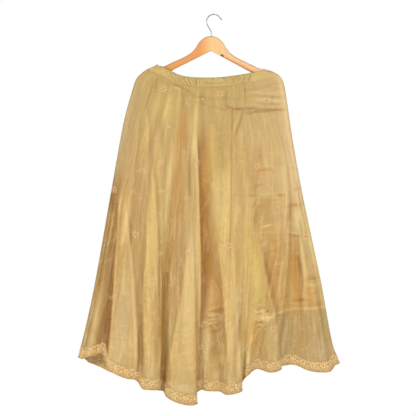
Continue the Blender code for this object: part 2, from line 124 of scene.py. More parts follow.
def smoothAt(knots, values, at):
    # a smooth curve through the values at rising knots, read at many places at once
    knots, values, at = np.asarray(knots, float), np.asarray(values, float), np.asarray(at, float)
    count = len(knots)
    i = np.clip(np.searchsorted(knots, at, side="right") - 1, 0, count - 2)
    low, high = np.maximum(np.arange(count) - 1, 0), np.minimum(np.arange(count) + 1, count - 1)
    reach = knots[high] - knots[low]
    slopes = (values[high] - values[low]) / (reach[:, None] if values.ndim > 1 else reach)
    span = knots[i + 1] - knots[i]
    s = np.clip((at - knots[i]) / span, 0, 1)
    if values.ndim > 1:
        s, span = s[..., None], span[..., None]
    held = values[i] * (2 * s**3 - 3 * s**2 + 1) + values[i + 1] * (3 * s**2 - 2 * s**3)
    return held + span * (slopes[i] * (s**3 - 2 * s**2 + s) + slopes[i + 1] * (s**3 - s**2))


def onTable(table, at):
    return smoothAt([row[0] for row in table], [row[1:] for row in table], at)


def onSide(side, v):
    steps = np.linalg.norm(np.diff(np.array(side, float), axis=0), axis=1)
    along = np.concatenate([[0], np.cumsum(steps)])
    return smoothAt(along / along[-1], side, v)


def sideLength(side):
    return float(np.linalg.norm(np.diff(np.array(side, float), axis=0), axis=1).sum())


def sideXAt(side, z):
    rows = sorted((cz, cx) for cx, cz in side)
    low, x, high = (onTable(rows, z + dz)[..., 0] for dz in (-2, 0, 2))
    return x, 1 / np.hypot(1, (high - low) / 4)


def smoothDepth(x, z):
    # how far the unfolded cloth stands off the middle plane: rounded at the sides, fuller between
    depth = onTable(skirt["depths"], z)
    side, middle = depth[..., 0], depth[..., 1]
    leftX, leftCos = sideXAt(skirt["leftSide"], z)
    rightX, rightCos = sideXAt(skirt["rightSide"], z)
    inward = np.maximum(np.minimum((x - leftX) * leftCos, (rightX - x) * rightCos), 0)
    rounding = np.minimum(inward / side, 1)
    across = (2 * x - leftX - rightX) / (rightX - leftX)
    return side * np.sqrt(1 - (1 - rounding) ** 2) + (middle - side) * np.maximum(1 - across**2, 0) ** 2


def upperX(before, fold, after, place):
    found = []
    for key, room in zip(("waist", "mid"), skirt["endRoom"]):
        other = before if place < 0 else after
        reach = (other[key] - fold[key]) / 2 if other else math.copysign(room, place)
        found.append(fold[key] + reach * abs(place))
    return found


def foldLines(folds):
    # the lines down one face: X at waist, middle and hem, hem height, stand-off, where it starts
    rows = [dict(zip(foldColumns, row)) for row in folds]
    lines, names, valleyBefore = [], [], 0.0
    for i, fold in enumerate(rows):
        before = rows[i - 1] if i else None
        after = rows[i + 1] if i + 1 < len(rows) else None
        crest, valley = fold["crest"], fold["valley"]
        floors = (valleyBefore, 0, 0, valley)
        for floor, (place, along, share, sag) in zip(floors, foldShape):
            standOff = floor + share * (crest - floor)
            x = fold["left"] + (fold["right"] - fold["left"]) * along
            z = fold["leftZ"] + (fold["rightZ"] - fold["leftZ"]) * along - fold["drop"] * sag
            lines.append((*upperX(before, fold, after, place), x, z, standOff, fold["start"]))
        if fold["tuck"]:
            z = (fold["rightZ"] + fold["valleyZ"]) / 2
            lines.append((*upperX(before, fold, after, tuckAt["place"]), fold["right"] - fold["tuck"], z,
                          valley + tuckAt["standOff"] * (crest - valley), fold["start"]))
        if after:
            x = (fold["right"] + after["left"]) / 2
            lines.append((*upperX(before, fold, after, 1.0), x, fold["valleyZ"], valley,
                          min(fold["start"], after["start"])))
        names += [fold["name"]] * (len(lines) - len(names))
        valleyBefore = valley
    return lines, names


def threeLevel(waist, mid, hem, v):
    return smoothAt((0, skirt["midLevel"], 1), (waist, mid, hem), v)


def linePath(waistX, midX, hemX, hemZ, drop, share, top, end=1.0):
    # X and Z of one line at shares of the stretch from top (mm) to end, with its share of the whole length
    edge = skirt["waistEdge"]
    waistZ = float(onTable(edge, waistX)[0]) - drop
    length = math.hypot(hemX - waistX, hemZ - waistZ)
    v = top / length + (end - top / length) * share
    x, z = threeLevel(waistX, midX, hemX, v), waistZ + (hemZ - waistZ) * v
    place = (waistX - edge[0][0]) / (edge[-1][0] - edge[0][0])
    for side, amount in ((skirt["leftSide"], (1 - place) ** skirt["carryPower"]),
                         (skirt["rightSide"], place ** skirt["carryPower"])):
        at = onSide(side, v)
        middle = float(onSide(side, skirt["midLevel"])[0])
        x = x + amount * (at[..., 0] - threeLevel(side[0][0], middle, side[-1][0], v))
        z = z + amount * (at[..., 1] - side[0][1] - (side[-1][1] - side[0][1]) * v)
    return x, z, v


def roundLines(side, share, top, turn, end=1.0):
    # the tube's side line and the points that round it off, one row for each share
    length = sideLength(side)
    v = top / length + (end - top / length) * share
    here = onSide(side, v)
    ahead = onSide(side, np.minimum(v + 0.01, 1)) - onSide(side, np.maximum(v - 0.01, 0))
    ahead /= np.linalg.norm(ahead, axis=-1, keepdims=True)
    inward = np.stack([-ahead[:, 1], ahead[:, 0]], axis=-1) * turn
    depth = onTable(skirt["depths"], here[:, 1])[:, :1]
    angles = np.radians(np.linspace(0, 90, skirt["roundSteps"] + 1))
    return np.stack([here + inward * depth * (1 - math.cos(a)) for a in angles], axis=1)


def faceGrid(folds, share, facing, top):
    # the folded surface of one face: rows down, columns across
    share, perGap, roundSteps = np.asarray(share, float), skirt["perGap"], skirt["roundSteps"]
    drop = skirt["backDrop"] if facing > 0 else 0
    body = []
    for waistX, midX, hemX, hemZ, standOff, start in foldLines(folds)[0]:
        x, z, v = linePath(waistX, midX, hemX, hemZ, drop, share, top)
        grown = np.maximum((v - start) / (1 - start), 0) ** skirt["growth"]
        body.append(np.stack([x, z, standOff * grown], axis=-1))
    body = np.stack(body, axis=1)
    left = roundLines(skirt["leftSide"], share, top, 1)
    right = roundLines(skirt["rightSide"], share, top, -1)[:, ::-1]
    rows = []
    for r in range(len(share)):
        steps = np.linalg.norm(np.diff(body[r], axis=0), axis=1)
        chords = np.concatenate([[0], np.cumsum(steps)])
        at = np.concatenate([chords[:-1, None] + steps[:, None] * np.arange(perGap) / perGap]).reshape(-1)
        inner = smoothAt(chords, body[r], np.append(at, chords[-1]))
        ends = [np.column_stack([edge[r], np.zeros(roundSteps + 1)]) for edge in (left, right)]
        between = np.arange(1, perGap)[:, None] / perGap
        leftFill = ends[0][-1] + (inner[0] - ends[0][-1]) * between
        rightFill = inner[-1] + (ends[1][0] - inner[-1]) * between
        rows.append(np.concatenate([ends[0], leftFill, inner, rightFill, ends[1]]))
    grid = np.array(rows)
    x, z = grid[..., 0], grid[..., 1]
    depth = smoothDepth(x, z) + np.maximum(grid[..., 2], 0)
    depth[:, [0, -1]] = 0
    return np.stack([x, facing * depth, z], axis=-1)


def gridNormals(grid, facing):
    normals = np.cross(np.gradient(grid, axis=1), np.gradient(grid, axis=0)) * facing
    normals[:, [0, -1], 1] = 0
    return normals / np.linalg.norm(normals, axis=2, keepdims=True)


def alongRows(points):
    # how far each point is from the first of its row, following the cloth
    steps = np.linalg.norm(np.diff(points, axis=1), axis=2)
    return np.concatenate([np.zeros((len(points), 1)), np.cumsum(steps, axis=1)], axis=1)


def alongColumns(points):
    return alongRows(points.swapaxes(0, 1)).T


def sideName(facing):
    return "front" if facing < 0 else "back"


def fromEnds(count):
    # how many columns each column is from the nearer end
    return np.minimum(np.arange(count), np.arange(count)[::-1])


def goreColumn(folds, name):
    names = foldLines(folds)[1]
    return skirt["roundSteps"] + skirt["perGap"] * (1 + names.index(name))


# creases pressed and crumpled into the cloth: x, z, lean of the top to the right, length, width,
# height
creases = {
    "front": [
        (-104, -262, 4, 110, 6, 2.6), (-92, -250, -2, 80, 5, -1.8), (-48, -262, 3, 120, 6, 2.4),
        (-34, -280, 0, 150, 8, -1.6), (-140, -270, 14, 130, 8, 2.2), (-158, -300, 18, 150, 9, -2),
        (14, -268, -2, 120, 7, 1.8), (40, -255, -3, 80, 5, -1.6), (92, -250, -8, 60, 6, 1.8),
        (-190, -330, 17, 230, 11, 2.4), (-120, -420, 9, 260, 10, 2), (-70, -440, 4, 300, 10, -2.2),
        (-18, -430, 1, 300, 9, 2), (28, -470, -1, 320, 10, -1.8), (96, -470, -7, 260, 9, 1.8),
        (108, -275, 79, 66, 3.2, 1.3), (104, -286, 83, 60, 3.2, -1.1), (152, -285, 93, 70, 3.4, 1.4),
        (160, -294, 88, 80, 3.2, -1.2), (196, -280, 84, 56, 3.2, 1.2), (126, -262, 86, 60, 3.2, 0.9),
        (66, -334, 17, 96, 5, 1), (80, -330, 17, 92, 4, -1), (-8, -272, 102, 150, 3, 1.6),
        (-14, -262, 101, 130, 3, -1.3), (30, -288, 100, 90, 3, 1.3), (150, -222, 84, 90, 3.5, -1.3),
        (146, -234, 88, 120, 3.5, 1.6), (156, -247, 96, 120, 3, -1.6), (150, -258, 94, 130, 3, 1.6),
        (160, -272, 92, 110, 3, -1.3), (176, -546, 84, 90, 4.5, 1.6), (170, -566, 88, 110, 4.5, -1.3),
        (196, -604, 80, 80, 4.5, 1.4), (160, -628, 93, 70, 3.5, -1.2), (214, -640, 76, 60, 4.5, 1.3),
        (150, -664, 86, 90, 4.5, 1.2), (186, -690, 82, 70, 3.5, -1.1), (102, -780, 1.2, 460, 8, 2.6),
        (120, -876, 64, 40, 3.5, 1.2), (150, -892, 78, 50, 3.5, -1), (134, -920, 58, 40, 3.5, 1.2),
        (186, -906, 84, 90, 4.5, 1.3), (156, -946, 70, 70, 3.5, -1.3), (216, -880, 88, 80, 4.5, 1.1),
        (24, -884, 62, 60, 4.5, 1.4), (6, -914, 70, 70, 4.5, -1.3), (34, -946, 56, 56, 3.5, 1.4),
        (10, -976, 66, 60, 3.5, 1.2), (-80, -900, 66, 50, 4.5, 1.2), (-92, -940, 58, 56, 4.5, -1.2),
        (-72, -986, 62, 50, 3.5, 1.2), (-100, -1030, 70, 50, 3.5, 1.1), (-284, -560, 9, 280, 9, 1.8),
        (-250, -700, 8, 300, 10, -1.8), (-300, -820, 8, 240, 8, 1.8), (248, -520, -10, 240, 8, 1.8),
        (276, -700, -11, 260, 9, -2), (300, -850, -12, 200, 8, 2), (30, -360, 80, 60, 3.5, 1),
        (-46, -386, 74, 50, 3.5, 0.8), (180, -420, 84, 90, 4.5, 1.1), (196, -452, 88, 80, 4.5, -1),
        (140, -480, 82, 70, 4.5, 1), (210, -760, 86, 100, 5.5, 1.2), (180, -790, 90, 90, 4.5, -1.1),
        (-14, -900, 58, 44, 3, 1.4), (-6, -932, 74, 40, 2.8, -1.2), (12, -952, 50, 40, 3, 1.2),
        (-10, -1010, 64, 36, 2.8, 1.1), (14, -1030, 80, 40, 2.8, -1), (-86, -960, 48, 36, 2.8, 1.1),
        (-70, -1050, 66, 36, 2.8, 1), (132, -560, 74, 34, 2.8, 1), (146, -586, 98, 40, 2.8, -0.9),
        (160, -644, 76, 34, 2.6, 1.2), (190, -700, 64, 30, 2.8, 1), (206, -740, 40, 34, 2.8, -0.9),
        (240, -668, 98, 44, 2.8, 1.2), (290, -806, 78, 40, 2.8, 1.2), (256, -850, 66, 34, 2.8, 1),
        (92, -420, 92, 50, 2.8, 0.8), (84, -366, 86, 44, 2.6, 0.8), (70, -560, 94, 40, 2.6, 0.7),
        (24, -530, 82, 40, 2.8, 0.8), (-214, -930, 82, 60, 4.5, 0.8), (-196, -990, 80, 50, 3.5, 0.8),
    ],
    "back": [
        (-110, -264, 5, 120, 6, 2.4), (-60, -256, 2, 90, 6, -1.8), (-10, -266, 0, 130, 7, 2.2),
        (50, -258, -3, 90, 6, -1.8), (98, -254, -8, 90, 6, 2), (-180, -340, 16, 220, 10, 2.2),
        (-96, -430, 8, 280, 10, 2), (-28, -450, 2, 300, 10, -2), (60, -470, -4, 300, 9, 1.8),
        (150, -460, -12, 260, 10, 2), (-150, -560, 84, 110, 4.5, 1.4), (-180, -600, 80, 90, 4.5, -1.2),
        (-120, -640, 88, 90, 4.5, 1.3), (110, -620, 82, 90, 4.5, 1.3), (150, -660, 88, 80, 4.5, -1.2),
        (-60, -820, 66, 70, 4.5, 1.4), (-30, -860, 72, 70, 4.5, -1.3), (-90, -910, 60, 60, 4.5, 1.3),
        (70, -880, 70, 70, 4.5, 1.3), (100, -930, 62, 60, 4.5, -1.2), (180, -860, 84, 90, 4.5, 1.2),
        (-270, -700, 9, 260, 9, 1.8), (270, -700, -11, 260, 9, -1.8), (-230, -880, 74, 80, 4.5, 1.2),
    ],
}


# edges of folds: which side lies in shade, how far the shade reaches, how much, how high the edge stands,
# and the line down the cloth
foldEdges = {
    "front": [
        (-1, 32, 0.95, 2.4, [(-283, -510), (-289, -580), (-295, -672), (-301, -754), (-307, -870),
         (-314, -961), (-323, -1059)]),
        (1, 22, 0.34, 1.6, [(-268, -553), (-259, -641), (-253, -696), (-246, -754), (-239, -839),
         (-234, -961), (-231, -1041)]),
        (-1, 14, 0.22, 1.2, [(-204, -565), (-205, -656), (-204, -717), (-211, -794), (-216, -870),
         (-214, -961), (-210, -1028)]),
        (1, 12, 0.26, 2.4, [(-173, -601), (-169, -717), (-170, -839), (-167, -961)]),
        (-1, 26, 0.3, 1.6, [(-70, -662), (-85, -754), (-94, -839), (-106, -906), (-121, -977),
         (-131, -1028)]),
        (1, 24, 0.8, 3, [(-54, -333), (-48, -443), (-44, -580), (-41, -687), (-39, -809), (-41, -920)]),
        (-1, 16, 0.34, 1.6, [(10, -675), (16, -733), (25, -809), (31, -885), (40, -1007)]),
        (1, 7, 0.26, 1.2, [(59, -662), (65, -763), (68, -870), (74, -961), (80, -1059)]),
        (1, 12, 0.3, 1.6, [(129, -662), (150, -742), (168, -833), (184, -906), (190, -967)]),
        (-1, 10, 0.16, 1, [(223, -479), (214, -611), (205, -733), (193, -870)]),
        (-1, 22, 0.34, 1.8, [(263, -565), (269, -662), (267, -717), (272, -794), (272, -885)]),
        (1, 9, 0.22, 1.2, [(-216, -248), (-207, -284), (-199, -321), (-198, -412), (-201, -492)]),
        (1, 10, 0.22, 1.2, [(-73, -260), (-66, -315), (-70, -382), (-79, -458), (-79, -534)]),
        (-1, 8, 0.2, 1, [(-146, -284), (-149, -351), (-155, -428), (-164, -498), (-164, -580)]),
        (1, 7, 0.24, 1.2, [(-185, -412), (-188, -467), (-179, -522), (-176, -577)]),
        (-1, 9, 0.18, 1, [(1, -296), (-9, -339), (-9, -412), (-2, -504)]),
        (1, 8, 0.16, 1, [(-237, -284), (-228, -336), (-234, -412), (-246, -492), (-253, -565)]),
        (1, 9, 0.15, 1, [(-146, -644), (-146, -717), (-152, -794), (-155, -885), (-149, -1007)]),
        (-1, 7, 0.25, 1, [(-115, -675), (-127, -754), (-140, -827), (-146, -894)]),
        (1, 12, 0.25, 1.4, [(217, -925), (220, -967), (214, -1022)]),
        (-1, 9, 0.18, 1, [(318, -913), (324, -961), (330, -1010)]),
    ],
    "back": [
        (-1, 26, 0.55, 2.4, [(-280, -534), (-289, -656), (-298, -809), (-310, -961), (-320, -1053)]),
        (1, 22, 0.36, 1.8, [(-219, -492), (-216, -656), (-222, -809), (-228, -961), (-231, -1071)]),
        (1, 20, 0.6, 2.6, [(-146, -412), (-140, -595), (-134, -778), (-131, -961), (-127, -1096)]),
        (-1, 18, 0.3, 1.6, [(-82, -626), (-91, -778), (-97, -931), (-103, -1053)]),
        (1, 26, 0.62, 3, [(-33, -357), (-30, -534), (-24, -717), (-21, -931), (-21, -1102)]),
        (-1, 16, 0.34, 1.6, [(31, -565), (25, -717), (22, -900), (19, -1053)]),
        (1, 18, 0.5, 2.2, [(74, -412), (74, -626), (77, -839), (80, -1089)]),
        (1, 14, 0.4, 1.8, [(147, -504), (159, -687), (171, -870), (181, -1041)]),
        (-1, 14, 0.34, 1.6, [(208, -534), (217, -717), (223, -900), (226, -1022)]),
        (1, 16, 0.36, 1.6, [(257, -595), (275, -778), (290, -961), (300, -1028)]),
        (1, 8, 0.2, 1, [(-195, -260), (-204, -333), (-207, -412), (-198, -492)]),
        (-1, 8, 0.2, 1, [(-103, -248), (-97, -321), (-106, -412), (-103, -498)]),
        (1, 8, 0.22, 1.2, [(25, -254), (31, -339), (25, -431), (31, -522)]),
        (-1, 8, 0.2, 1, [(117, -260), (110, -351), (120, -443), (132, -522)]),
    ],
}


pressed = {
    "fadeTop": 90,  # an edge fades in over this far below its top, and out over this far past its foot
    "fadeFoot": 60,
    "shoulder": 13,
    "lip": 3.2,
    "hollow": (9, 6, 0.5),  # where, how wide and how deep beside the edge
    "bow": 0.06,
    "creaseEnd": 0.42,
    "topShare": 0.03,  # creases ease out near the waist, the hem and the sides
    "hemShare": 0.02,
    "leastEase": 0.15,
    "sideColumns": 10,
}


def besideEdge(x, z, line):
    # how far right of a line each place is, and how much the line counts there
    rows = sorted((lineZ, lineX) for lineX, lineZ in line)
    fade = np.clip((rows[-1][0] - z) / pressed["fadeTop"], 0, 1)
    fade = fade * np.clip((z - rows[0][0]) / pressed["fadeFoot"] + 1, 0, 1)
    return x - onTable(rows, z)[..., 0], fade * fade * (3 - 2 * fade)


def edgeHeight(x, z, rows):
    # a raised edge with a soft shoulder on one side and a hollow on the other
    height = np.zeros_like(x)
    where, wide, deep = pressed["hollow"]
    for way, _, _, rise, line in rows:
        beyond, fade = besideEdge(x, z, line)
        beyond = beyond * way
        ridge = np.exp(-((beyond / np.where(beyond < 0, pressed["shoulder"], pressed["lip"])) ** 2))
        height += rise * fade * (ridge - deep * np.exp(-(((beyond - where) / wide) ** 2)))
    return height


def onLine(x, z, middleX, middleZ, lean):
    # how far each place is along a leaning line, and across it
    a = math.radians(lean)
    x, z = x - middleX, z - middleZ
    return x * math.sin(a) + z * math.cos(a), x * math.cos(a) - z * math.sin(a)


def creaseHeight(x, z, rows):
    # soft ridges and troughs that fade out at both ends
    height = np.zeros_like(x)
    for cx, cz, lean, length, width, rise in rows:
        along, across = onLine(x, z, cx, cz, lean)
        across = across + pressed["bow"] * along * along / length
        height += rise * np.exp(-((across / width) ** 2) - (along / (pressed["creaseEnd"] * length)) ** 4)
    return height


def makeFace(folds, facing):
    # one face of the outer cloth, with everything that the pieces on it need to find their place
    side = sideName(facing)
    share = np.linspace(0, 1, skirt["rows"])[:, None]
    grid = faceGrid(folds, share[:, 0], facing, skirt["bandHeight"] - skirt["underBand"])
    x, z = grid[..., 0], grid[..., 2]
    ease = np.minimum(share / pressed["topShare"], (1 - share) / pressed["hemShare"])
    ease = np.clip(ease, pressed["leastEase"], 1)
    relief = creaseHeight(x, z, creases[side]) + edgeHeight(x, z, foldEdges[side])
    relief *= ease * np.clip(fromEnds(grid.shape[1]) / pressed["sideColumns"], 0, 1)
    points = (grid + gridNormals(grid, facing) * (skirt["outerOffset"] + relief[..., None])) * mm
    return {
        "side": side,
        "facing": facing,
        "folds": folds,
        "points": points,
        "normals": gridNormals(points, facing),
        "relief": relief,
        "across": alongRows(points),
        "down": alongColumns(points),
    }


def sampleGrid(array, r, c):
    r, c = np.broadcast_arrays(np.asarray(r, float), np.asarray(c, float))
    r, c = np.clip(r, 0, array.shape[0] - 1.001), np.clip(c, 0, array.shape[1] - 1.001)
    i, j = r.astype(int), c.astype(int)
    fr, fc = r - i, c - j
    if array.ndim > 2:
        fr, fc = fr[..., None], fc[..., None]
    top = array[i, j] * (1 - fc) + array[i, j + 1] * fc
    return top * (1 - fr) + (array[i + 1, j] * (1 - fc) + array[i + 1, j + 1] * fc) * fr


def onCloth(face, r, c, right, up, lift):
    # points a little way right and up from a place on a face, following the cloth, lifted off it
    i = int(np.clip(round(float(r)), 0, len(face["points"]) - 1))
    index = np.arange(face["points"].shape[1])
    start = np.interp(c, index, face["across"][i])
    column = np.interp(start + np.asarray(right), face["across"][i], index)
    rowStep = face["down"][-1, int(np.clip(c, 0, index[-1]))] / (len(face["points"]) - 1)
    row = r - np.asarray(up) / rowStep
    normal = sampleGrid(face["normals"], row, column)
    normal /= np.linalg.norm(normal, axis=-1, keepdims=True)
    return sampleGrid(face["points"], row, column) + normal * np.asarray(lift)[..., None]


def liftedPoints(face, row, column, lift):
    return sampleGrid(face["points"], row, column) + sampleGrid(face["normals"], row, column) * lift


def nearHem(face, along, height):
    # row and column of a place given by its way along the hem and its height above it, in metres
    column = np.interp(along, face["across"][-1], np.arange(face["points"].shape[1]))
    rowStep = face["down"][-1, int(column)] / (len(face["points"]) - 1)
    return len(face["points"]) - 1 - height / rowStep, column


front, back = makeFace(frontFolds, -1), makeFace(backFolds, 1)
print("cloth form worked out,", front["points"].shape, back["points"].shape)


def material(name):
    made = bpy.data.materials.new(name)
    made.use_nodes = True
    nodes = made.node_tree.nodes
    return made, nodes, made.node_tree.links, nodes["Principled BSDF"]


def node(nodes, kind, **values):
    made = nodes.new(kind)
    for key, value in values.items():
        setattr(made, key, value)
    return made


def mixColour(nodes, links, factor, first, second, blend="MIX"):
    mix = node(nodes, "ShaderNodeMix", data_type="RGBA", blend_type=blend)
    for key, value in (("Factor", factor), ("A", first), ("B", second)):
        socket = mix.inputs[key]
        if isinstance(value, bpy.types.NodeSocket):
            links.new(value, socket)
        elif isinstance(value, tuple):
            socket.default_value = (*value, 1)
        else:
            socket.default_value = value
    return mix.outputs["Result"]


def ramp(nodes, links, source, low, high, lowValue=0.0, highValue=1.0):
    made = node(nodes, "ShaderNodeMapRange", interpolation_type="SMOOTHSTEP")
    links.new(source, made.inputs["Value"])
    for key, value in (("From Min", low), ("From Max", high), ("To Min", lowValue), ("To Max", highValue)):
        made.inputs[key].default_value = value
    return made.outputs["Result"]


def times(nodes, links, first, second):
    made = node(nodes, "ShaderNodeMath", operation="MULTIPLY")
    links.new(first, made.inputs[0])
    links.new(second, made.inputs[1])
    return made.outputs["Value"]


def noiseOn(nodes, links, coordinates, scale, size, detail=3.0, roughness=0.55, wander=0.0):
    mapping = node(nodes, "ShaderNodeMapping")
    mapping.inputs["Scale"].default_value = scale
    links.new(coordinates, mapping.inputs["Vector"])
    made = node(nodes, "ShaderNodeTexNoise")
    made.inputs["Scale"].default_value = size
    made.inputs["Detail"].default_value = detail
    made.inputs["Roughness"].default_value = roughness
    made.inputs["Distortion"].default_value = wander
    links.new(mapping.outputs["Vector"], made.inputs["Vector"])
    return made.outputs["Fac"]


def waveredOn(nodes, links, coordinates, place, amounts):
    # the same coordinates pushed to and fro, a little along the way and more across it: scale and push
    for size, push in amounts:
        drift = node(nodes, "ShaderNodeTexNoise")
        drift.inputs["Scale"].default_value = size
        drift.inputs["Detail"].default_value = 2
        links.new(place, drift.inputs["Vector"])
        centred = node(nodes, "ShaderNodeVectorMath", operation="SUBTRACT")
        links.new(drift.outputs["Color"], centred.inputs[0])
        centred.inputs[1].default_value = (0.5, 0.5, 0.5)
        pushed = node(nodes, "ShaderNodeVectorMath", operation="MULTIPLY_ADD")
        links.new(centred.outputs["Vector"], pushed.inputs[0])
        pushed.inputs[1].default_value = (push, push * 0.4, 0)
        links.new(coordinates, pushed.inputs[2])
        coordinates = pushed.outputs["Vector"]
    return coordinates


def weaveOn(nodes, links, coordinates, threads, directions=("X", "Z")):
    # warp and weft as two sets of fine waves, threads to the metre
    found = []
    for direction in directions:
        wave = node(nodes, "ShaderNodeTexWave", bands_direction=direction)
        wave.inputs["Scale"].default_value = threads / 20
        wave.inputs["Distortion"].default_value = 0.6
        links.new(coordinates, wave.inputs["Vector"])
        found.append(wave.outputs["Fac"])
    return times(nodes, links, *found)


def addHeights(nodes, links, parts):
    total = None
    for socket, weight in parts:
        scaled = node(nodes, "ShaderNodeMath", operation="MULTIPLY_ADD")
        links.new(socket, scaled.inputs[0])
        scaled.inputs[1].default_value = weight
        if total:
            links.new(total, scaled.inputs[2])
        else:
            scaled.inputs[2].default_value = 0
        total = scaled.outputs["Value"]
    return total


def bumpFrom(nodes, links, shader, height, strength, distance):
    bump = node(nodes, "ShaderNodeBump")
    bump.inputs["Strength"].default_value = strength
    bump.inputs["Distance"].default_value = distance
    links.new(height, bump.inputs["Height"])
    links.new(bump.outputs["Normal"], shader.inputs["Normal"])


tissue = {
    "waver": [(4.5, 0.06), (17, 0.016), (60, 0.003)],  # noise scale, and how far it pushes the threads
    "streaks": ((46, 5.0, 1), 1.4, 6, 0.62, 0.4),  # for each noise: stretch, scale, detail, roughness, waver
    "slubs": ((300, 16, 1), 1.0, 3, 0.6, 0.5),
    "crinkle": ((24, 24, 74), 1.0, 5, 0.62),
    "crumple": ((34, 34, 30), 1.0, 6, 0.66),
    "flecks": ((52, 52, 170), 1.0, 5, 0.62, 0.9),
    "threads": 2600,  # to the metre
    "metallic": 0.35,
    "sheen": 0.25,
    "sheenRoughness": 0.4,
    "sheenTint": linear(255, 236, 190),
    # the darker slub colour also paints shade into the crinkle lines, the lighter one highlights on the
    # crumples' peaks; the glint colour is a painted highlight on the crumples and the dent colour painted
    # shade in them
    "slubDarkAndCrinkleShade": linear(166, 128, 68),
    "slubLightAndPeakHighlight": linear(242, 218, 156),
    "glint": linear(250, 228, 156),
    "dentShade": linear(158, 106, 40),
    "bump": (0.75, 0.006),
}


def tissueMaterial(name, alpha):
    made, nodes, links, shader = material(name)
    uv = node(nodes, "ShaderNodeUVMap", uv_map="cloth").outputs["UV"]
    place = node(nodes, "ShaderNodeTexCoord").outputs["Object"]
    painted = node(nodes, "ShaderNodeVertexColor", layer_name="tone")
    tone = painted.outputs["Color"]
    folded = painted.outputs["Alpha"]  # the tone's alpha says how crumpled the cloth is
    wavered = waveredOn(nodes, links, uv, place, tissue["waver"])
    streaks, slubs = (noiseOn(nodes, links, wavered, *tissue[key]) for key in ("streaks", "slubs"))
    crinkle, crumple, flecks = (noiseOn(nodes, links, place, *tissue[key])
                                for key in ("crinkle", "crumple", "flecks"))
    split = node(nodes, "ShaderNodeSeparateXYZ")
    links.new(uv, split.inputs[0])
    below = times(nodes, links, ramp(nodes, links, split.outputs["Y"], -0.05, -0.24, 0.4, 1.0),
                  ramp(nodes, links, folded, 0.12, 0.4, 1.0, 0.5))  # streaks grow strong away from the waist
    where = ramp(nodes, links, folded, 0.05, 0.9, 0.05, 1.0)
    glints = times(nodes, links, ramp(nodes, links, flecks, 0.52, 0.66), where)
    dentShades = times(nodes, links, ramp(nodes, links, flecks, 0.48, 0.34), where)
    crumpleForm = times(nodes, links, flecks, where)
    streak = times(nodes, links, ramp(nodes, links, streaks, 0.44, 0.72, 0, 0.32), below)
    slub = times(nodes, links, ramp(nodes, links, slubs, 0.52, 0.28, 0, 0.30), below)
    colour = mixColour(nodes, links, streak, tone, tissue["slubLightAndPeakHighlight"])
    colour = mixColour(nodes, links, slub, colour, tissue["slubDarkAndCrinkleShade"])
    crumpled = ramp(nodes, links, folded, 0.05, 0.7, 0.2, 1.0)
    # painted shade in the crinkle lines
    lines = times(nodes, links, ramp(nodes, links, crinkle, 0.46, 0.28, 0, 0.34), crumpled)
    colour = mixColour(nodes, links, lines, colour, tissue["slubDarkAndCrinkleShade"])
    # painted highlights on the crumples' peaks
    peakHighlights = ramp(nodes, links, crumple, 0.56, 0.74, 0, 0.34)
    colour = mixColour(nodes, links, peakHighlights, colour, tissue["slubLightAndPeakHighlight"])
    # painted shade in the crumples' dents, then painted glints on them
    colour = mixColour(nodes, links, ramp(nodes, links, dentShades, 0.0, 1.0, 0, 0.75), colour, tissue["dentShade"])
    colour = mixColour(nodes, links, ramp(nodes, links, glints, 0.0, 1.0, 0, 0.8), colour, tissue["glint"])
    links.new(colour, shader.inputs["Base Color"])
    links.new(ramp(nodes, links, streaks, 0.3, 0.7, 0.52, 0.36), shader.inputs["Roughness"])
    shader.inputs["Metallic"].default_value = tissue["metallic"]
    shader.inputs["Sheen Weight"].default_value = tissue["sheen"]
    shader.inputs["Sheen Roughness"].default_value = tissue["sheenRoughness"]
    shader.inputs["Sheen Tint"].default_value = (*tissue["sheenTint"], 1)
    shader.inputs["Alpha"].default_value = alpha
    weave = weaveOn(nodes, links, place, tissue["threads"])
    height = addHeights(nodes, links, [(streaks, 0.6), (slubs, 0.15), (crinkle, 1.0), (crumple, 1.2),
                                       (weave, 0.04), (crumpleForm, 1.0)])
    bumpFrom(nodes, links, shader, height, *tissue["bump"])
    return made


satin = {"streaks": ((40, 4, 1), 1.0, 4), "dark": linear(178, 140, 82), "light": linear(204, 168, 108),
         "threads": 2000, "sheen": 0.3, "bump": (0.3, 0.002)}


def satinMaterial():
    made, nodes, links, shader = material("liningSatin")
    uv = node(nodes, "ShaderNodeUVMap", uv_map="cloth").outputs["UV"]
    streaks = noiseOn(nodes, links, uv, *satin["streaks"])
    colour = mixColour(nodes, links, ramp(nodes, links, streaks, 0.35, 0.7), satin["dark"], satin["light"])
    links.new(colour, shader.inputs["Base Color"])
    links.new(ramp(nodes, links, streaks, 0.3, 0.7, 0.5, 0.38), shader.inputs["Roughness"])
    shader.inputs["Sheen Weight"].default_value = satin["sheen"]
    weave = weaveOn(nodes, links, uv, satin["threads"], ("X", "Y"))
    bumpFrom(nodes, links, shader, addHeights(nodes, links, [(streaks, 1), (weave, 0.1)]), *satin["bump"])
    return made


laceGround = {"mesh": 260, "dark": linear(160, 124, 68), "light": linear(184, 148, 88),
              "cord": linear(196, 158, 102), "roughness": 0.55, "metallic": 0.1, "sheen": 0.3,
              "bump": (0.5, 0.0008)}


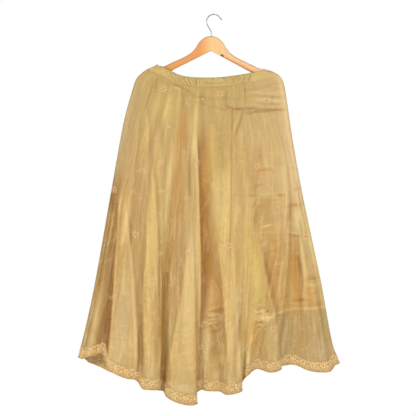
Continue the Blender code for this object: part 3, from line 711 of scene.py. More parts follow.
def laceMaterial():
    made, nodes, links, shader = material("floralLace")
    uv = node(nodes, "ShaderNodeUVMap", uv_map="cloth").outputs["UV"]
    net = node(nodes, "ShaderNodeTexVoronoi", feature="DISTANCE_TO_EDGE")
    net.inputs["Scale"].default_value = laceGround["mesh"]
    links.new(uv, net.inputs["Vector"])
    blotch = noiseOn(nodes, links, uv, (60, 60, 1), 1.0, 3)
    patchy = ramp(nodes, links, blotch, 0.35, 0.65)
    base = mixColour(nodes, links, patchy, laceGround["dark"], laceGround["light"])
    inside = ramp(nodes, links, net.outputs["Distance"], 0.03, 0.10)
    colour = mixColour(nodes, links, inside, laceGround["cord"], base)
    links.new(colour, shader.inputs["Base Color"])
    shader.inputs["Roughness"].default_value = laceGround["roughness"]
    shader.inputs["Metallic"].default_value = laceGround["metallic"]
    shader.inputs["Sheen Weight"].default_value = laceGround["sheen"]
    bumpFrom(nodes, links, shader, net.outputs["Distance"], *laceGround["bump"])
    return made


# two colours of each thread, how metallic it is, and its roughness
threads = {
    "peachThread": ((224, 182, 114), (236, 200, 134), 0.0, 0.5),
    "creamThread": ((240, 207, 140), (228, 191, 120), 0.0, 0.5),
    "goldThread": ((180, 134, 66), (202, 158, 88), 0.4, 0.38),
    "seamThread": ((208, 176, 112), (220, 190, 126), 0.2, 0.45),
    "motifThread": ((226, 180, 132), (212, 164, 112), 0.0, 0.5),
    "insideThread": ((250, 240, 222), (232, 216, 186), 0.0, 0.5),
    "sequinGold": ((255, 236, 200), (246, 218, 168), 0.4, 0.25),
}


def threadMaterial(name, first, second, metallic, roughness):
    made, nodes, links, shader = material(name)
    place = node(nodes, "ShaderNodeTexCoord").outputs["Object"]
    patch = noiseOn(nodes, links, place, (1, 1, 1), 90, 2)
    strands = noiseOn(nodes, links, place, (900, 900, 240), 1.0, 2)
    patchy = ramp(nodes, links, patch, 0.35, 0.65)
    colour = mixColour(nodes, links, patchy, linear(*first), linear(*second))
    links.new(colour, shader.inputs["Base Color"])
    shader.inputs["Roughness"].default_value = roughness
    shader.inputs["Metallic"].default_value = metallic
    shader.inputs["Sheen Weight"].default_value = 0.2
    bumpFrom(nodes, links, shader, strands, 0.4, 0.0005)
    return made


tissueOuter = tissueMaterial("goldTissue", 0.78)
tissueBand = tissueMaterial("goldTissueCasing", 1.0)
liningSatin = satinMaterial()
floralLace = laceMaterial()
spools = {name: threadMaterial(name, *look) for name, look in threads.items()}
print("cloth materials ready")

# the gold's own yellower, greener or paler tones, and painted highlights, glow and brown shade on the folds
toneColours = {
    "base": linear(206, 171, 106),
    "yellow": linear(232, 202, 116),
    "highlight": linear(230, 198, 132),
    "shadeBrown": linear(142, 84, 14),
    "tan": linear(186, 146, 88),
    "orange": linear(192, 128, 40),
    "amber": linear(226, 180, 96),
    "silver": linear(204, 180, 142),
    "olive": linear(178, 140, 72),
    "green": linear(196, 166, 100),
    "pale": linear(224, 190, 138),
    "grey": linear(176, 145, 94),
    "light": linear(248, 222, 156),
    "casing": linear(182, 155, 92),
    "shaded": linear(190, 157, 97),
    "honey": linear(206, 167, 92),
    "paintedGlow": linear(238, 184, 84),
}
# x, z, lean of the top to the right, half width, half length, how much, colour; mostly painted highlights and
# shade on the folds
tonePatches = {
    "front": [
        (0, -860, 0, 430, 300, 0.5, "honey"), (-130, -380, 8, 100, 270, 0.75, "shaded"),
        (-271, -412, 15, 26, 180, 0.75, "grey"), (-106, -610, 3, 18, 220, 0.75, "tan"),
        (-181, -824, 2, 14, 150, 0.85, "tan"), (-30, -580, 3, 12, 190, 0.6, "orange"),
        (-22, -730, 2, 12, 110, 0.4, "shadeBrown"), (-33, -815, 0, 8, 60, 0.35, "shadeBrown"),
        (0, -998, 0, 12, 70, 0.7, "tan"), (62, -1000, 0, 11, 80, 0.9, "tan"),
        (172, -790, -10, 22, 150, 0.35, "orange"), (184, -906, -10, 9, 36, 0.5, "tan"),
        (236, -670, -4, 7, 30, 0.3, "orange"), (-148, -900, 0, 11, 190, 0.6, "amber"),
        (100, -1040, -20, 18, 60, 0.9, "light"), (-9, -443, 3, 13, 90, 0.4, "yellow"),
        (-265, -610, 6, 10, 70, 0.5, "highlight"), (302, -720, -12, 12, 60, 0.5, "light"),
        (112, -586, -3, 20, 30, 0.4, "highlight"), (330, -1020, -14, 22, 44, 0.7, "silver"),
        (-394, -960, 10, 10, 90, 0.8, "silver"), (-186, -1090, 2, 12, 34, 0.6, "silver"),
        (254, -790, -6, 10, 90, 0.5, "orange"), (-36, -1020, 0, 12, 90, 0.6, "light"),
        (0, -230, 0, 420, 130, 0.8, "green"), (-225, -520, 6, 34, 130, 0.6, "tan"),
        (-330, -800, 8, 26, 190, 0.4, "shadeBrown"), (-66, -850, 2, 22, 170, 0.7, "light"),
        (-128, -900, 0, 18, 110, 0.4, "highlight"), (-336, -820, 8, 30, 150, 0.25, "shadeBrown"),
        (24, -590, 0, 26, 110, 0.4, "yellow"), (-190, -260, 12, 60, 110, 0.7, "green"),
        (-145, -290, 10, 26, 40, 0.35, "yellow"), (-100, -400, 6, 20, 110, 0.5, "orange"),
        (-60, -372, 4, 10, 80, 0.8, "yellow"), (-34, -420, 3, 11, 90, 0.35, "shadeBrown"),
        (20, -390, 0, 40, 110, 0.15, "olive"), (160, -420, -10, 60, 160, 0.3, "pale"),
        (222, -330, -10, 24, 110, 0.9, "pale"), (250, -470, -12, 26, 120, 0.9, "pale"),
        (262, -560, -12, 22, 60, 0.8, "pale"), (176, -268, 88, 8, 60, 0.5, "pale"),
        (146, -476, 84, 3.5, 16, 0.6, "orange"), (163, -472, 98, 3.5, 16, 0.6, "orange"),
        (150, -430, 60, 3, 12, 0.4, "orange"), (130, -500, 10, 5, 50, 0.4, "orange"),
        (-148, -980, 0, 10, 140, 0.5, "amber"), (-178, -900, 0, 9, 150, 0.3, "shadeBrown"),
        (-262, -640, 5, 16, 120, 0.3, "orange"), (-180, -560, 5, 9, 170, 0.5, "yellow"),
        (-140, -560, 5, 7, 150, 0.5, "light"), (-110, -560, 4, 20, 70, 0.4, "orange"),
        (-336, -740, 7, 30, 190, 0.8, "olive"), (-6, -800, 3, 16, 130, 0.35, "orange"),
        (37, -985, 0, 10, 100, 0.6, "light"), (-62, -370, 4, 7, 70, 0.6, "light"),
        (-356, -900, 9, 14, 60, 0.5, "highlight"), (77, -336, 17, 3, 46, 0.4, "shadeBrown"),
        (64, -340, 17, 4, 46, 0.15, "light"), (206, -286, 84, 3, 24, 0.3, "orange"),
        (0, -278, 102, 3, 80, 0.4, "orange"), (150, -262, 94, 3, 60, 0.4, "orange"),
        (150, -240, 88, 3, 60, 0.4, "light"), (-102, -717, 3, 17, 150, 0.34, "shadeBrown"),
        (-268, -880, 3, 34, 180, 0.3, "grey"), (-222, -880, 3, 14, 190, 0.3, "olive"),
        (-190, -800, 2, 14, 210, 0.3, "yellow"), (-120, -880, 0, 26, 190, 0.5, "olive"),
        (-70, -880, 0, 17, 190, 0.7, "highlight"), (-24, -640, 1, 13, 200, 0.5, "shadeBrown"),
        (-16, -560, 2, 16, 140, 0.2, "orange"), (28, -600, 0, 16, 200, 0.6, "yellow"),
        (10, -860, 4, 16, 90, 0.6, "orange"), (42, -900, 0, 13, 160, 0.8, "highlight"),
        (20, -1010, 10, 16, 60, 0.5, "yellow"), (96, -560, -2, 30, 200, 0.3, "olive"),
        (126, -780, -10, 22, 170, 0.65, "yellow"), (152, -920, -20, 18, 30, 0.9, "light"),
        (170, -880, -8, 10, 90, 0.6, "olive"), (196, -780, -6, 16, 120, 0.4, "orange"),
        (250, -790, -8, 16, 90, 0.7, "orange"), (264, -698, -2, 3.4, 52, 1.0, "light"),
        (257, -758, -8, 6, 34, 0.6, "shadeBrown"), (298, -797, 86, 6, 20, 0.5, "shadeBrown"),
        (284, -830, 80, 7, 10, 0.45, "shadeBrown"), (309, -800, -13, 8, 170, 0.6, "pale"),
        (270, -858, 0, 2.6, 24, 0.9, "light"), (290, -860, -10, 26, 40, 0.5, "orange"),
        (302, -780, -10, 12, 30, 0.3, "pale"), (310, -880, 85, 8, 40, 0.3, "shadeBrown"),
        (220, -620, -8, 40, 80, 0.4, "pale"), (150, -580, 80, 14, 60, 0.25, "orange"),
        (203, -550, 84, 5, 14, 0.95, "orange"), (246, -580, 84, 5, 22, 0.8, "orange"),
        (229, -606, 8, 6, 30, 0.6, "orange"), (254, -531, 80, 4, 16, 0.5, "orange"),
        (112, -552, 86, 3.5, 14, 0.6, "shadeBrown"), (120, -580, 42, 3, 12, 0.6, "shadeBrown"),
        (126, -620, 8, 7, 22, 0.35, "shadeBrown"), (168, -606, 85, 26, 40, 0.35, "tan"),
        (160, -644, 76, 2.4, 14, 0.7, "light"), (240, -672, 98, 2.6, 24, 0.5, "shadeBrown"),
        (246, -664, 98, 2.4, 22, 0.5, "light"), (290, -805, 78, 3.5, 22, 0.6, "shadeBrown"),
        (300, -822, 80, 5, 20, 0.5, "highlight"), (216, -620, 4, 3.0, 70, 0.25, "light"),
        (203, -770, 6, 3.0, 80, 0.2, "light"), (256, -630, -6, 11, 34, 0.9, "light"),
        (166, -800, -12, 9, 90, 0.45, "shadeBrown"), (140, -520, 80, 3, 18, 0.35, "shadeBrown"),
        (178, -720, 70, 3, 16, 0.35, "shadeBrown"), (224, -700, 86, 3.4, 16, 0.45, "orange"),
        (208, -860, 70, 3, 20, 0.4, "shadeBrown"), (150, -700, 62, 3, 14, 0.3, "light"),
        (150, -905, 76, 3, 16, 0.4, "shadeBrown"), (142, -933, 84, 3, 14, 0.45, "shadeBrown"),
        (156, -922, 80, 4, 26, 0.9, "light"), (6, -900, 74, 4, 20, 0.4, "shadeBrown"),
        (14, -930, 70, 5, 24, 0.35, "light"), (4, -960, 74, 4, 20, 0.4, "shadeBrown"),
        (-303, -545, 12, 14, 60, 0.6, "shadeBrown"), (-310, -680, 10, 14, 80, 0.26, "shadeBrown"),
        (-14, -730, 2, 15, 110, 0.35, "orange"), (5, -990, 0, 16, 60, 0.42, "shadeBrown"),
        (72, -960, 2, 12, 110, 0.38, "shadeBrown"), (88, -1080, -20, 14, 44, 0.9, "light"),
        (-22, -955, -8, 10, 40, 0.5, "highlight"), (-232, -990, 2, 8, 90, 0.5, "highlight"),
        (194, -900, 0, 8, 30, 0.4, "shadeBrown"), (-34, -660, 2, 9, 150, 0.4, "orange"),
        (-36, -900, 0, 9, 70, 0.4, "orange"), (50, -283, 100, 2.4, 12, 0.6, "shadeBrown"),
        (74, -288, 84, 3.6, 14, 0.7, "shadeBrown"), (112, -287, 84, 2.4, 20, 0.6, "shadeBrown"),
        (172, -290, 92, 3.0, 46, 0.7, "shadeBrown"), (113, -301, 88, 2, 18, 0.5, "shadeBrown"),
        (172, -222, 0, 56, 54, 0.5, "pale"), (-262, -330, 17, 12, 110, 0.5, "silver"),
        (-348, -1000, 10, 18, 56, 0.36, "shadeBrown"), (262, -868, 84, 5, 26, 0.6, "shadeBrown"),
        (-243, -290, 16, 11, 80, 0.6, "grey"), (-297, -545, 14, 14, 50, 0.45, "shadeBrown"),
        (-346, -1022, 10, 17, 30, 0.5, "shadeBrown"), (-172, -900, 0, 7, 140, 0.4, "shadeBrown"),
        (-100, -790, 3, 13, 110, 0.35, "shadeBrown"), (-10, -730, 2, 12, 100, 0.25, "shadeBrown"),
        (-34, -850, 0, 6, 40, 0.3, "shadeBrown"), (68, -1010, 2, 8, 70, 0.4, "shadeBrown"),
        (210, -730, 4, 8, 110, 0.28, "shadeBrown"), (264, -975, 0, 9, 44, 0.5, "orange"),
        (236, -985, 0, 14, 40, 0.3, "grey"), (300, -990, -6, 8, 44, 0.35, "pale"),
        (142, -420, 0, 16, 26, 0.35, "tan"), (-90, -410, 3, 12, 60, 0.4, "tan"),
        (-270, -640, 8, 9, 70, 0.5, "light"), (-228, -920, 2, 8, 130, 0.45, "light"),
        (-135, -740, 2, 7, 60, 0.5, "amber"), (-137, -990, 3, 9, 60, 0.7, "amber"),
        (-57, -780, 0, 6, 120, 0.5, "light"), (-10, -915, -10, 14, 24, 0.4, "light"),
        (-34, -1080, 0, 8, 40, 0.8, "light"), (95, -1100, -20, 10, 40, 1.0, "light"),
        (118, -1000, -15, 8, 30, 0.6, "light"), (218, -930, 0, 6, 24, 0.5, "light"),
        (326, -1030, 0, 14, 22, 0.5, "light"), (30, -570, 0, 26, 80, 0.4, "light"),
        (215, -500, 0, 10, 80, 0.4, "light"), (288, -670, -14, 12, 90, 0.4, "light"),
        (-170, -390, 0, 10, 50, 0.3, "highlight"), (-280, -960, 4, 26, 100, 0.4, "silver"),
        (-150, -1000, 0, 9, 120, 0.8, "paintedGlow"), (-33, -480, 3, 7, 60, 0.4, "paintedGlow"),
        (-33, -690, 1, 7, 60, 0.35, "paintedGlow"), (118, -1000, 0, 30, 70, 0.35, "paintedGlow"),
        (240, -850, -4, 20, 160, 0.25, "paintedGlow"), (180, -212, 78, 3, 28, 0.35, "tan"),
        (180, -221, 78, 3, 30, 0.5, "pale"), (176, -231, 82, 3, 34, 0.4, "tan"),
        (184, -240, 86, 3, 32, 0.55, "pale"), (180, -251, 92, 3, 32, 0.45, "tan"),
        (170, -262, 94, 3, 40, 0.45, "light"), (170, -272, 96, 3, 44, 0.45, "tan"),
        (136, -296, 90, 2.2, 36, 0.5, "shadeBrown"), (-102, -222, 116, 2.6, 36, 0.4, "shadeBrown"),
        (-98, -231, 116, 2.6, 32, 0.4, "light"), (-78, -240, 114, 2.6, 28, 0.35, "shadeBrown"),
        (6, -266, 101, 2.4, 40, 0.35, "light"), (16, -288, 104, 2.4, 30, 0.4, "shadeBrown"),
        (-20, -256, 104, 2.4, 34, 0.3, "shadeBrown"), (-198, -250, 20, 2.6, 50, 0.35, "shadeBrown"),
        (-175, -215, 6, 2.6, 26, 0.4, "shadeBrown"), (94, -246, -2, 2.6, 34, 0.4, "shadeBrown"),
        (40, -256, 96, 2.4, 34, 0.3, "shadeBrown"), (-303, -700, 10, 8, 80, 0.3, "shadeBrown"),
        (-34, -810, 0, 6, 70, 0.3, "shadeBrown"), (-170, -960, 0, 6, 60, 0.4, "shadeBrown"),
        (-115, -800, 3, 8, 50, 0.3, "shadeBrown"), (8, -760, 0, 10, 60, 0.25, "shadeBrown"),
        (15, -930, 0, 10, 30, 0.3, "shadeBrown"), (185, -905, 0, 10, 30, 0.35, "shadeBrown"),
        (95, -240, 80, 14, 30, 0.3, "tan"), (213, -700, 4, 7, 90, 0.25, "shadeBrown"),
        (-52, -1030, 0, 8, 100, 0.8, "paintedGlow"), (-41, -1010, 0, 2.8, 84, 0.5, "shadeBrown"),
        (-8, -856, 4, 9, 44, 0.5, "highlight"), (71, -890, 0, 2.8, 60, 0.6, "light"),
        (97, -860, 1, 4.5, 110, 0.6, "light"), (-2, -900, 84, 2.6, 22, 0.4, "shadeBrown"),
        (0, -912, 78, 2.6, 20, 0.4, "light"), (2, -944, 80, 2.6, 18, 0.4, "shadeBrown"),
        (-22, -1020, 6, 7, 50, 0.4, "light"), (104, -1070, -22, 18, 60, 0.8, "light"),
        (-138, -985, 3, 10, 70, 0.8, "light"), (20, -1095, 0, 16, 16, 0.7, "light"),
        (-270, -800, 2, 10, 70, 0.2, "light"), (110, -600, 0, 14, 60, 0.4, "highlight"),
        (-48, -1010, 2, 6, 70, 0.5, "light"),
    ],
    "back": [
        (-338, -1062, 0, 34, 34, 0.9, "paintedGlow"), (-200, -300, 12, 60, 130, 0.6, "green"),
        (-60, -360, 4, 14, 110, 0.6, "yellow"), (120, -360, -8, 60, 130, 0.5, "pale"),
        (-30, -420, 3, 13, 100, 0.7, "shadeBrown"), (-130, -620, 6, 16, 200, 0.6, "yellow"),
        (-20, -680, 1, 16, 200, 0.6, "yellow"), (80, -640, -4, 20, 200, 0.5, "highlight"),
        (-210, -900, 4, 12, 200, 0.6, "shadeBrown"), (-110, -920, 2, 10, 200, 0.7, "shadeBrown"),
        (-4, -920, 0, 10, 200, 0.7, "shadeBrown"), (100, -900, -3, 10, 180, 0.6, "orange"),
        (206, -880, -6, 10, 170, 0.7, "shadeBrown"), (-270, -880, 6, 26, 190, 0.6, "highlight"),
        (-160, -900, 3, 18, 200, 0.5, "highlight"), (50, -920, 0, 16, 180, 0.6, "yellow"),
        (150, -900, -4, 20, 170, 0.5, "highlight"), (270, -880, -10, 30, 150, 0.5, "pale"),
        (-80, -1000, 4, 16, 40, 0.7, "light"),
    ],
}
# where the cloth is crumpled: x, z, half width, half height, how much; everywhere else a little
crumples = {
    "front": [
        (160, -520, 70, 80, 0.32), (190, -640, 70, 80, 0.30), (-14, -930, 40, 70, 0.55),
        (146, -916, 28, 54, 0.95), (290, -840, 50, 50, 0.5), (30, -420, 60, 90, 0.3),
        (-110, -980, 40, 110, 0.36), (40, -285, 90, 24, 0.4), (170, -250, 60, 50, 0.3),
        (-340, -900, 24, 70, 0.3), (200, -760, 70, 60, 0.25), (10, -1050, 40, 60, 0.35),
    ],
    "back": [
        (-130, -560, 80, 90, 0.35), (150, -620, 80, 90, 0.35), (-50, -920, 44, 60, 0.4),
        (110, -900, 60, 70, 0.5), (-280, -860, 50, 70, 0.3), (0, -280, 90, 30, 0.4), (0, -620, 90, 60, 0.3),
        (230, -820, 50, 60, 0.4),
    ],
    "elsewhere": 0.12,
}
foldTone = {
    "valleyShade": 0.45, "crestLight": 0.25, "spread": 21, "fullDepth": 12,
    "quietRight": ([40, 90], [1, 0.15]),  # right of here the front's valleys are hardly browner
    "shade": (0.8, 6, 0.6),  # of a fold's edge: softness, reach of its dark part, and the dark part's share
    "edgeRim": (0.2, 4, 3.5),  # how much, where and how wide
    "lightRim": (0.5, 5, 3), "yellowRimLight": (3, 1.8), "rimRise": (-600, 80), "rimFall": (-560, 60),
    "leftRim": 0.1, "rightRim": 0.55,
    "seam": 0.62, "seamWidth": 1.1, "seamRun": ([-1100, -750, -500, -290, -280], [0.2, 0.45, 0.7, 1, 0]),
    "seamFold": {"front": "seamRidge", "back": "back5"},
    "belowLining": 0.55, "liningEdge": 0.22, "liningLift": ([160, 320], [0, -9]),
    "liningClear": ([-400, 60, 200, 380], [0.25, 0.3, 1.0, 1.0]),  # how well the lining shows through
    "creaseShade": 0.16, "creaseDepth": 2.5, "mostCrease": 1.4,
}


def bell(distance, width):
    return np.exp(-((distance / width) ** 2))


def towards(tone, name, weight):
    tone += (np.array(toneColours[name]) - tone) * weight[..., None]


def paintPatches(tone, side, x, z):
    for middleX, middleZ, lean, halfX, halfZ, amount, name in tonePatches[side]:
        along, across = onLine(x, z, middleX, middleZ, lean)
        towards(tone, name, amount * np.exp(-((across / halfX) ** 2) - np.abs(along / halfZ) ** 3))


def paintFolds(tone, side, x, depth):
    # painted highlights on the crests and painted brown shade in the valleys, compared with the cloth around
    # them
    half = foldTone["spread"]
    padded = np.pad(depth, ((0, 0), (half, half)), mode="reflect")
    runs = np.cumsum(np.pad(padded, ((0, 0), (1, 0))), axis=1)
    around = (runs[:, 2 * half + 1:] - runs[:, : -2 * half - 1]) / (2 * half + 1)
    stand = np.clip((depth - around) / foldTone["fullDepth"], -1, 1)
    places, shares = foldTone["quietRight"]
    valley = foldTone["valleyShade"] * np.interp(x, places, shares if side == "front" else [1, 1])
    towards(tone, "shadeBrown", valley * np.clip(-stand, 0, 1))
    towards(tone, "highlight", foldTone["crestLight"] * np.clip(stand, 0, 1))


def paintEdges(tone, side, x, z):
    # the shade behind each fold's edge and the light along it
    soft, darkReach, dark = foldTone["shade"]
    rimAmount, rimPlace, rimWidth = foldTone["edgeRim"]
    for way, reach, amount, _, line in foldEdges[side]:
        beyond, fade = besideEdge(x, z, line)
        beyond = beyond * way
        behind = np.maximum(beyond, 0)
        deep = dark * np.exp(-behind / darkReach) + (1 - dark) * bell(behind, reach)
        towards(tone, "shadeBrown", amount * fade * deep / (1 + np.exp(-beyond / soft)))
        towards(tone, "light", rimAmount * fade * min(amount * 2, 1) * bell(beyond + rimPlace, rimWidth))


def paintRims(tone, x, z):
    # painted light and a yellow painted rim along the sides of the skirt, where the cloth turns away
    ends = fromEnds(x.shape[1])
    amount, place, width = foldTone["lightRim"]
    low, run = foldTone["rimRise"]
    rightHalf = np.interp(x, [-50, 50], [0, 1])
    towards(tone, "light", amount * bell(ends - place, width) * rightHalf * np.clip((z - low) / run, 0, 1))
    place, width = foldTone["yellowRimLight"]
    top, run = foldTone["rimFall"]
    towards(tone, "yellow", bell(ends - place, width) * np.clip((top - z) / run, 0, 1)
            * np.interp(x, [-50, 50], [foldTone["leftRim"], foldTone["rightRim"]]))


def paintLining(tone, x, z, liningHem):
    # greyer tissue below the lining's hem, and the hem itself showing through
    order = np.argsort(liningHem[:, 0])
    hemZ = np.interp(x, liningHem[order, 0] / mm, liningHem[order, 2] / mm)
    hemZ = hemZ + np.interp(x, *foldTone["liningLift"])
    clear = np.interp(x, *foldTone["liningClear"])
    towards(tone, "grey", foldTone["belowLining"] * clear * np.clip((hemZ - z) / 5, 0, 1))
    towards(tone, "light", foldTone["liningEdge"] * clear * bell(z - hemZ - 3, 3))


def clothTone(face, liningHem):
    # colour of the tissue at each point, and in its alpha how crumpled it is there
    side = face["side"]
    x, depth, z = (face["points"][..., i] / mm for i in range(3))
    tone = np.ones((*x.shape, 3)) * np.array(toneColours["base"])
    paintPatches(tone, side, x, z)
    paintFolds(tone, side, x, np.abs(depth))
    paintEdges(tone, side, x, z)
    paintRims(tone, x, z)
    # the seam line painted brown: partly the seam's own darker line, partly painted shade in its groove
    fromSeam = np.arange(x.shape[1]) - goreColumn(face["folds"], foldTone["seamFold"][side])
    seam = bell(fromSeam, foldTone["seamWidth"]) * np.interp(z, *foldTone["seamRun"])
    towards(tone, "shadeBrown", foldTone["seam"] * seam)
    paintLining(tone, x, z, liningHem)
    # painted shade in the creases' troughs and painted light on their ridges
    most = foldTone["mostCrease"]
    relief = np.clip(face["relief"] / foldTone["creaseDepth"], -most, most)
    tone *= 1 + foldTone["creaseShade"] * relief[..., None]
    crumpled = np.full_like(x, crumples["elsewhere"])
    for middleX, middleZ, halfX, halfZ, amount in crumples[side]:
        crumpled = np.maximum(crumpled, amount * bell(x - middleX, halfX) * bell(z - middleZ, halfZ))
    return np.clip(np.dstack([tone, crumpled]), 0, 1)


def finish(piece, slot, *nodes):
    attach(piece, "root")
    if nodes:
        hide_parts(*nodes)
    return piece


def objectFrom(name, mesh, *materials):
    mesh.name = name
    for one in materials:
        mesh.materials.append(one)
    piece = bpy.data.objects.new(name, mesh)
    bpy.context.scene.collection.objects.link(piece)
    return piece


def clothPiece(name, points, facing, uv, tone, cloth, thickness):
    # a flat grid draped onto rows and columns of points, then given its thickness
    rows, columns = points.shape[:2]
    bm = bmesh.new()
    bmesh.ops.create_grid(bm, x_segments=columns - 1, y_segments=rows - 1, size=1)
    if facing > 0:
        bmesh.ops.reverse_faces(bm, faces=bm.faces)
    for edge in bm.edges:
        edge.smooth = not edge.is_boundary  # so that the cut edges don't darken the seams
    mesh = bpy.data.meshes.new(name)
    bm.to_mesh(mesh)
    bm.free()
    flat = np.zeros(len(mesh.vertices) * 3)
    mesh.vertices.foreach_get("co", flat)
    flat = flat.reshape(-1, 3)
    c = np.rint((flat[:, 0] + 1) / 2 * (columns - 1)).astype(int)
    r = np.rint((1 - flat[:, 1]) / 2 * (rows - 1)).astype(int)
    mesh.vertices.foreach_set("co", points[r, c].reshape(-1))
    corner = np.zeros(len(mesh.loops), int)
    mesh.loops.foreach_get("vertex_index", corner)
    layer = mesh.uv_layers.new(name="cloth")
    layer.data.foreach_set("uv", uv[r, c][corner].reshape(-1))
    if tone is not None:
        paint = mesh.color_attributes.new(name="tone", type="FLOAT_COLOR", domain="POINT")
        paint.data.foreach_set("color", tone[r, c].reshape(-1))
    mesh.shade_smooth()
    mesh.update()
    piece = objectFrom(name, mesh, cloth)
    wall = piece.modifiers.new("thickness", "SOLIDIFY")
    wall.thickness = thickness
    wall.offset = 0
    return piece


waistband = {
    "front": [("waistbandFrontLeft", "waistband_front_left", "seamRidge"),
              ("waistbandFrontRight", "waistband_front_right", None)],
    "back": [("waistbandBackLeft", "waistband_back_left", "back5"),
             ("waistbandBackRight", "waistband_back_right", None)],
    "plain": ([-150, -112, 96, 150], [0.6, 0, 0, 0.85]),  # at the sides the casing looks like the skirt
    "plainPale": 0.25,
    "peak": (-168, 16, 6.5),  # the left corner turns up: X, width, height
    "crumpled": 0.35,
    "cornerDrop": 6.0,
    "sideColumns": 12,
    "rows": 9,
    "beyond": 5,  # one more row below the casing gives its last row a normal
    "offset": 2.0,
    "bulge": 0.3,
    "pinchHeight": 0.55,
    "pinchTop": 0.35,
    "edgeShade": (0.45, 0.0030),
    "gatherShade": 0.16,
    "strokeDark": 1.6,
    "strokeLight": (0.5, 4, 2.2),
    "thickness": 0.0011,
    # each stroke is painted crease shade with a painted highlight beside it
    "strokes": [  # X, lean, top, foot, how dark
        (-150, 1.3, 2, 22, 0.45), (-139, 1.1, 4, 26, 0.5), (-124, 0.9, 2, 26, 0.5), (-112, 0.8, 6, 30, 0.6),
        (-104, 1.0, 4, 22, 0.5), (-96, 0.6, 8, 30, 0.6), (-88, 0.8, 10, 24, 0.4), (-78, 0.3, 12, 30, 0.4),
        (-52, 0.0, 6, 30, 0.75), (-44, 0.1, 10, 26, 0.3), (-20, 0.1, 8, 20, 0.2), (12, -0.1, 6, 22, 0.2),
        (60, 0.0, 4, 26, 0.4), (96, -0.2, 6, 24, 0.3), (112, -0.3, 4, 24, 0.4), (118, -0.4, 10, 30, 0.3),
    ],
    "pinches": [  # X, width, height
        (-150, 2.4, 1.0), (-122, 2.0, 1.2), (-112, 1.8, 1.5), (-103, 1.6, 1.6), (-94, 1.8, 1.4),
        (-84, 2.0, 0.8), (-66, 2.2, 0.8), (-50, 1.8, 1.5), (-38, 2.2, 0.8), (-16, 2.4, 0.7), (6, 2.2, 0.9),
        (24, 2.4, 0.7), (46, 2.0, 0.9), (58, 1.8, 1.1), (84, 2.4, 0.7), (104, 2.0, 0.9), (124, 2.2, 0.8),
        (144, 2.0, 1.0),
    ],
}


def bandTone(x, down, gather, facing):
    # painted shade along the top edge, painted light on the gathers' pinches, and at the front listed strokes
    # of painted crease shade, each with a painted highlight beside it
    amount, width = waistband["edgeShade"]
    shade = 1 - amount * bell(down, width) + waistband["gatherShade"] * np.clip(gather, -1, 1)
    light, aside, lightWidth = waistband["strokeLight"]
    for place, lean, top, foot, dark in waistband["strokes"] if facing < 0 else []:
        away = x - place - lean * down / mm
        reach = np.clip((down / mm - top) / 3 + 0.5, 0, 1) * np.clip((foot - down / mm) / 4 + 0.5, 0, 1)
        stroke = bell(away, waistband["strokeDark"]) - light * bell(away - aside, lightWidth)
        shade *= 1 - dark * reach * stroke
    tone = np.ones((*shade.shape, 3)) * np.array(toneColours["casing"])
    plain = np.interp(x, *waistband["plain"])
    towards(tone, "green", plain)
    towards(tone, "pale", waistband["plainPale"] * plain * (x > 0))
    return np.dstack([tone * shade[..., None], np.full_like(shade, waistband["crumpled"])])


def sewWaistband(folds, facing):
    tops = np.linspace(0, skirt["bandHeight"], waistband["rows"])
    levels = (*tops, skirt["bandHeight"] + waistband["beyond"])
    grid = np.concatenate([faceGrid(folds, [0], facing, level) for level in levels])
    normals = gridNormals(grid, facing)
    x = grid[..., 0]
    gather = np.zeros_like(x)
    for place, width, rise in waistband["pinches"]:
        gather += rise * waistband["pinchHeight"] * bell(x + place * (1 if facing > 0 else -1), width)
    level = np.linspace(0, 1, len(grid))[:, None]
    inward = np.clip(fromEnds(grid.shape[1]) / waistband["sideColumns"], 0, 1)
    start = waistband["pinchTop"]
    bulge = waistband["bulge"] * np.sin(np.pi * level) + gather * (start + (1 - start) * level)
    grid = grid + normals * (waistband["offset"] + (bulge * inward)[..., None])
    grid[..., 2] -= waistband["cornerDrop"] * (1 - inward) ** 2 * (1 - level)
    if facing < 0:
        place, width, rise = waistband["peak"]
        grid[..., 2] += rise * bell(x - place, width) * (1 - level)
    points = grid[:-1] * mm
    across = alongRows(points)
    down = np.repeat((tops * mm)[:, None], points.shape[1], axis=1)
    tone = bandTone(x[:-1], down, gather[:-1], facing)
    uv = np.stack([across, -down], axis=-1)
    first = 0
    for name, nodeName, nextFold in waistband[sideName(facing)]:
        last = goreColumn(folds, nextFold) if nextFold else points.shape[1] - 1
        part = (slice(None), slice(first, last + 1))
        piece = clothPiece(name, points[part], facing, uv[part], tone[part], tissueBand,
                           waistband["thickness"])
        finish(piece, "gold_tissue", nodeName)
        first = last
    return {"points": points, "normals": gridNormals(points, facing), "across": across, "down": down,
            "facing": facing}


bandFront = sewWaistband(frontFolds, -1)
bandBack = sewWaistband(backFolds, 1)
print("waistband sewn")

# ends are X at the hem and the share of the skirt's length that the lining covers there
lining = {
    "frontEnds": [(-412, 0.93), (-200, 0.925), (20, 0.91), (110, 0.88), (210, 0.815), (381, 0.80)],
    "backEnds": [(-412, 0.925), (0, 0.92), (381, 0.925)],
    "hemLine": [(-412, -1045), (-300, -1085), (-170, -1138), (-20, -1150), (80, -1135), (200, -1078),
                (381, -1062)],
    "offset": -0.7,
    "drop": 2.0,  # below the casing
    "room": 22,  # from the sides to the first line
    "lines": 56,
    "rows": 70,
    "thickness": 0.0005,
}


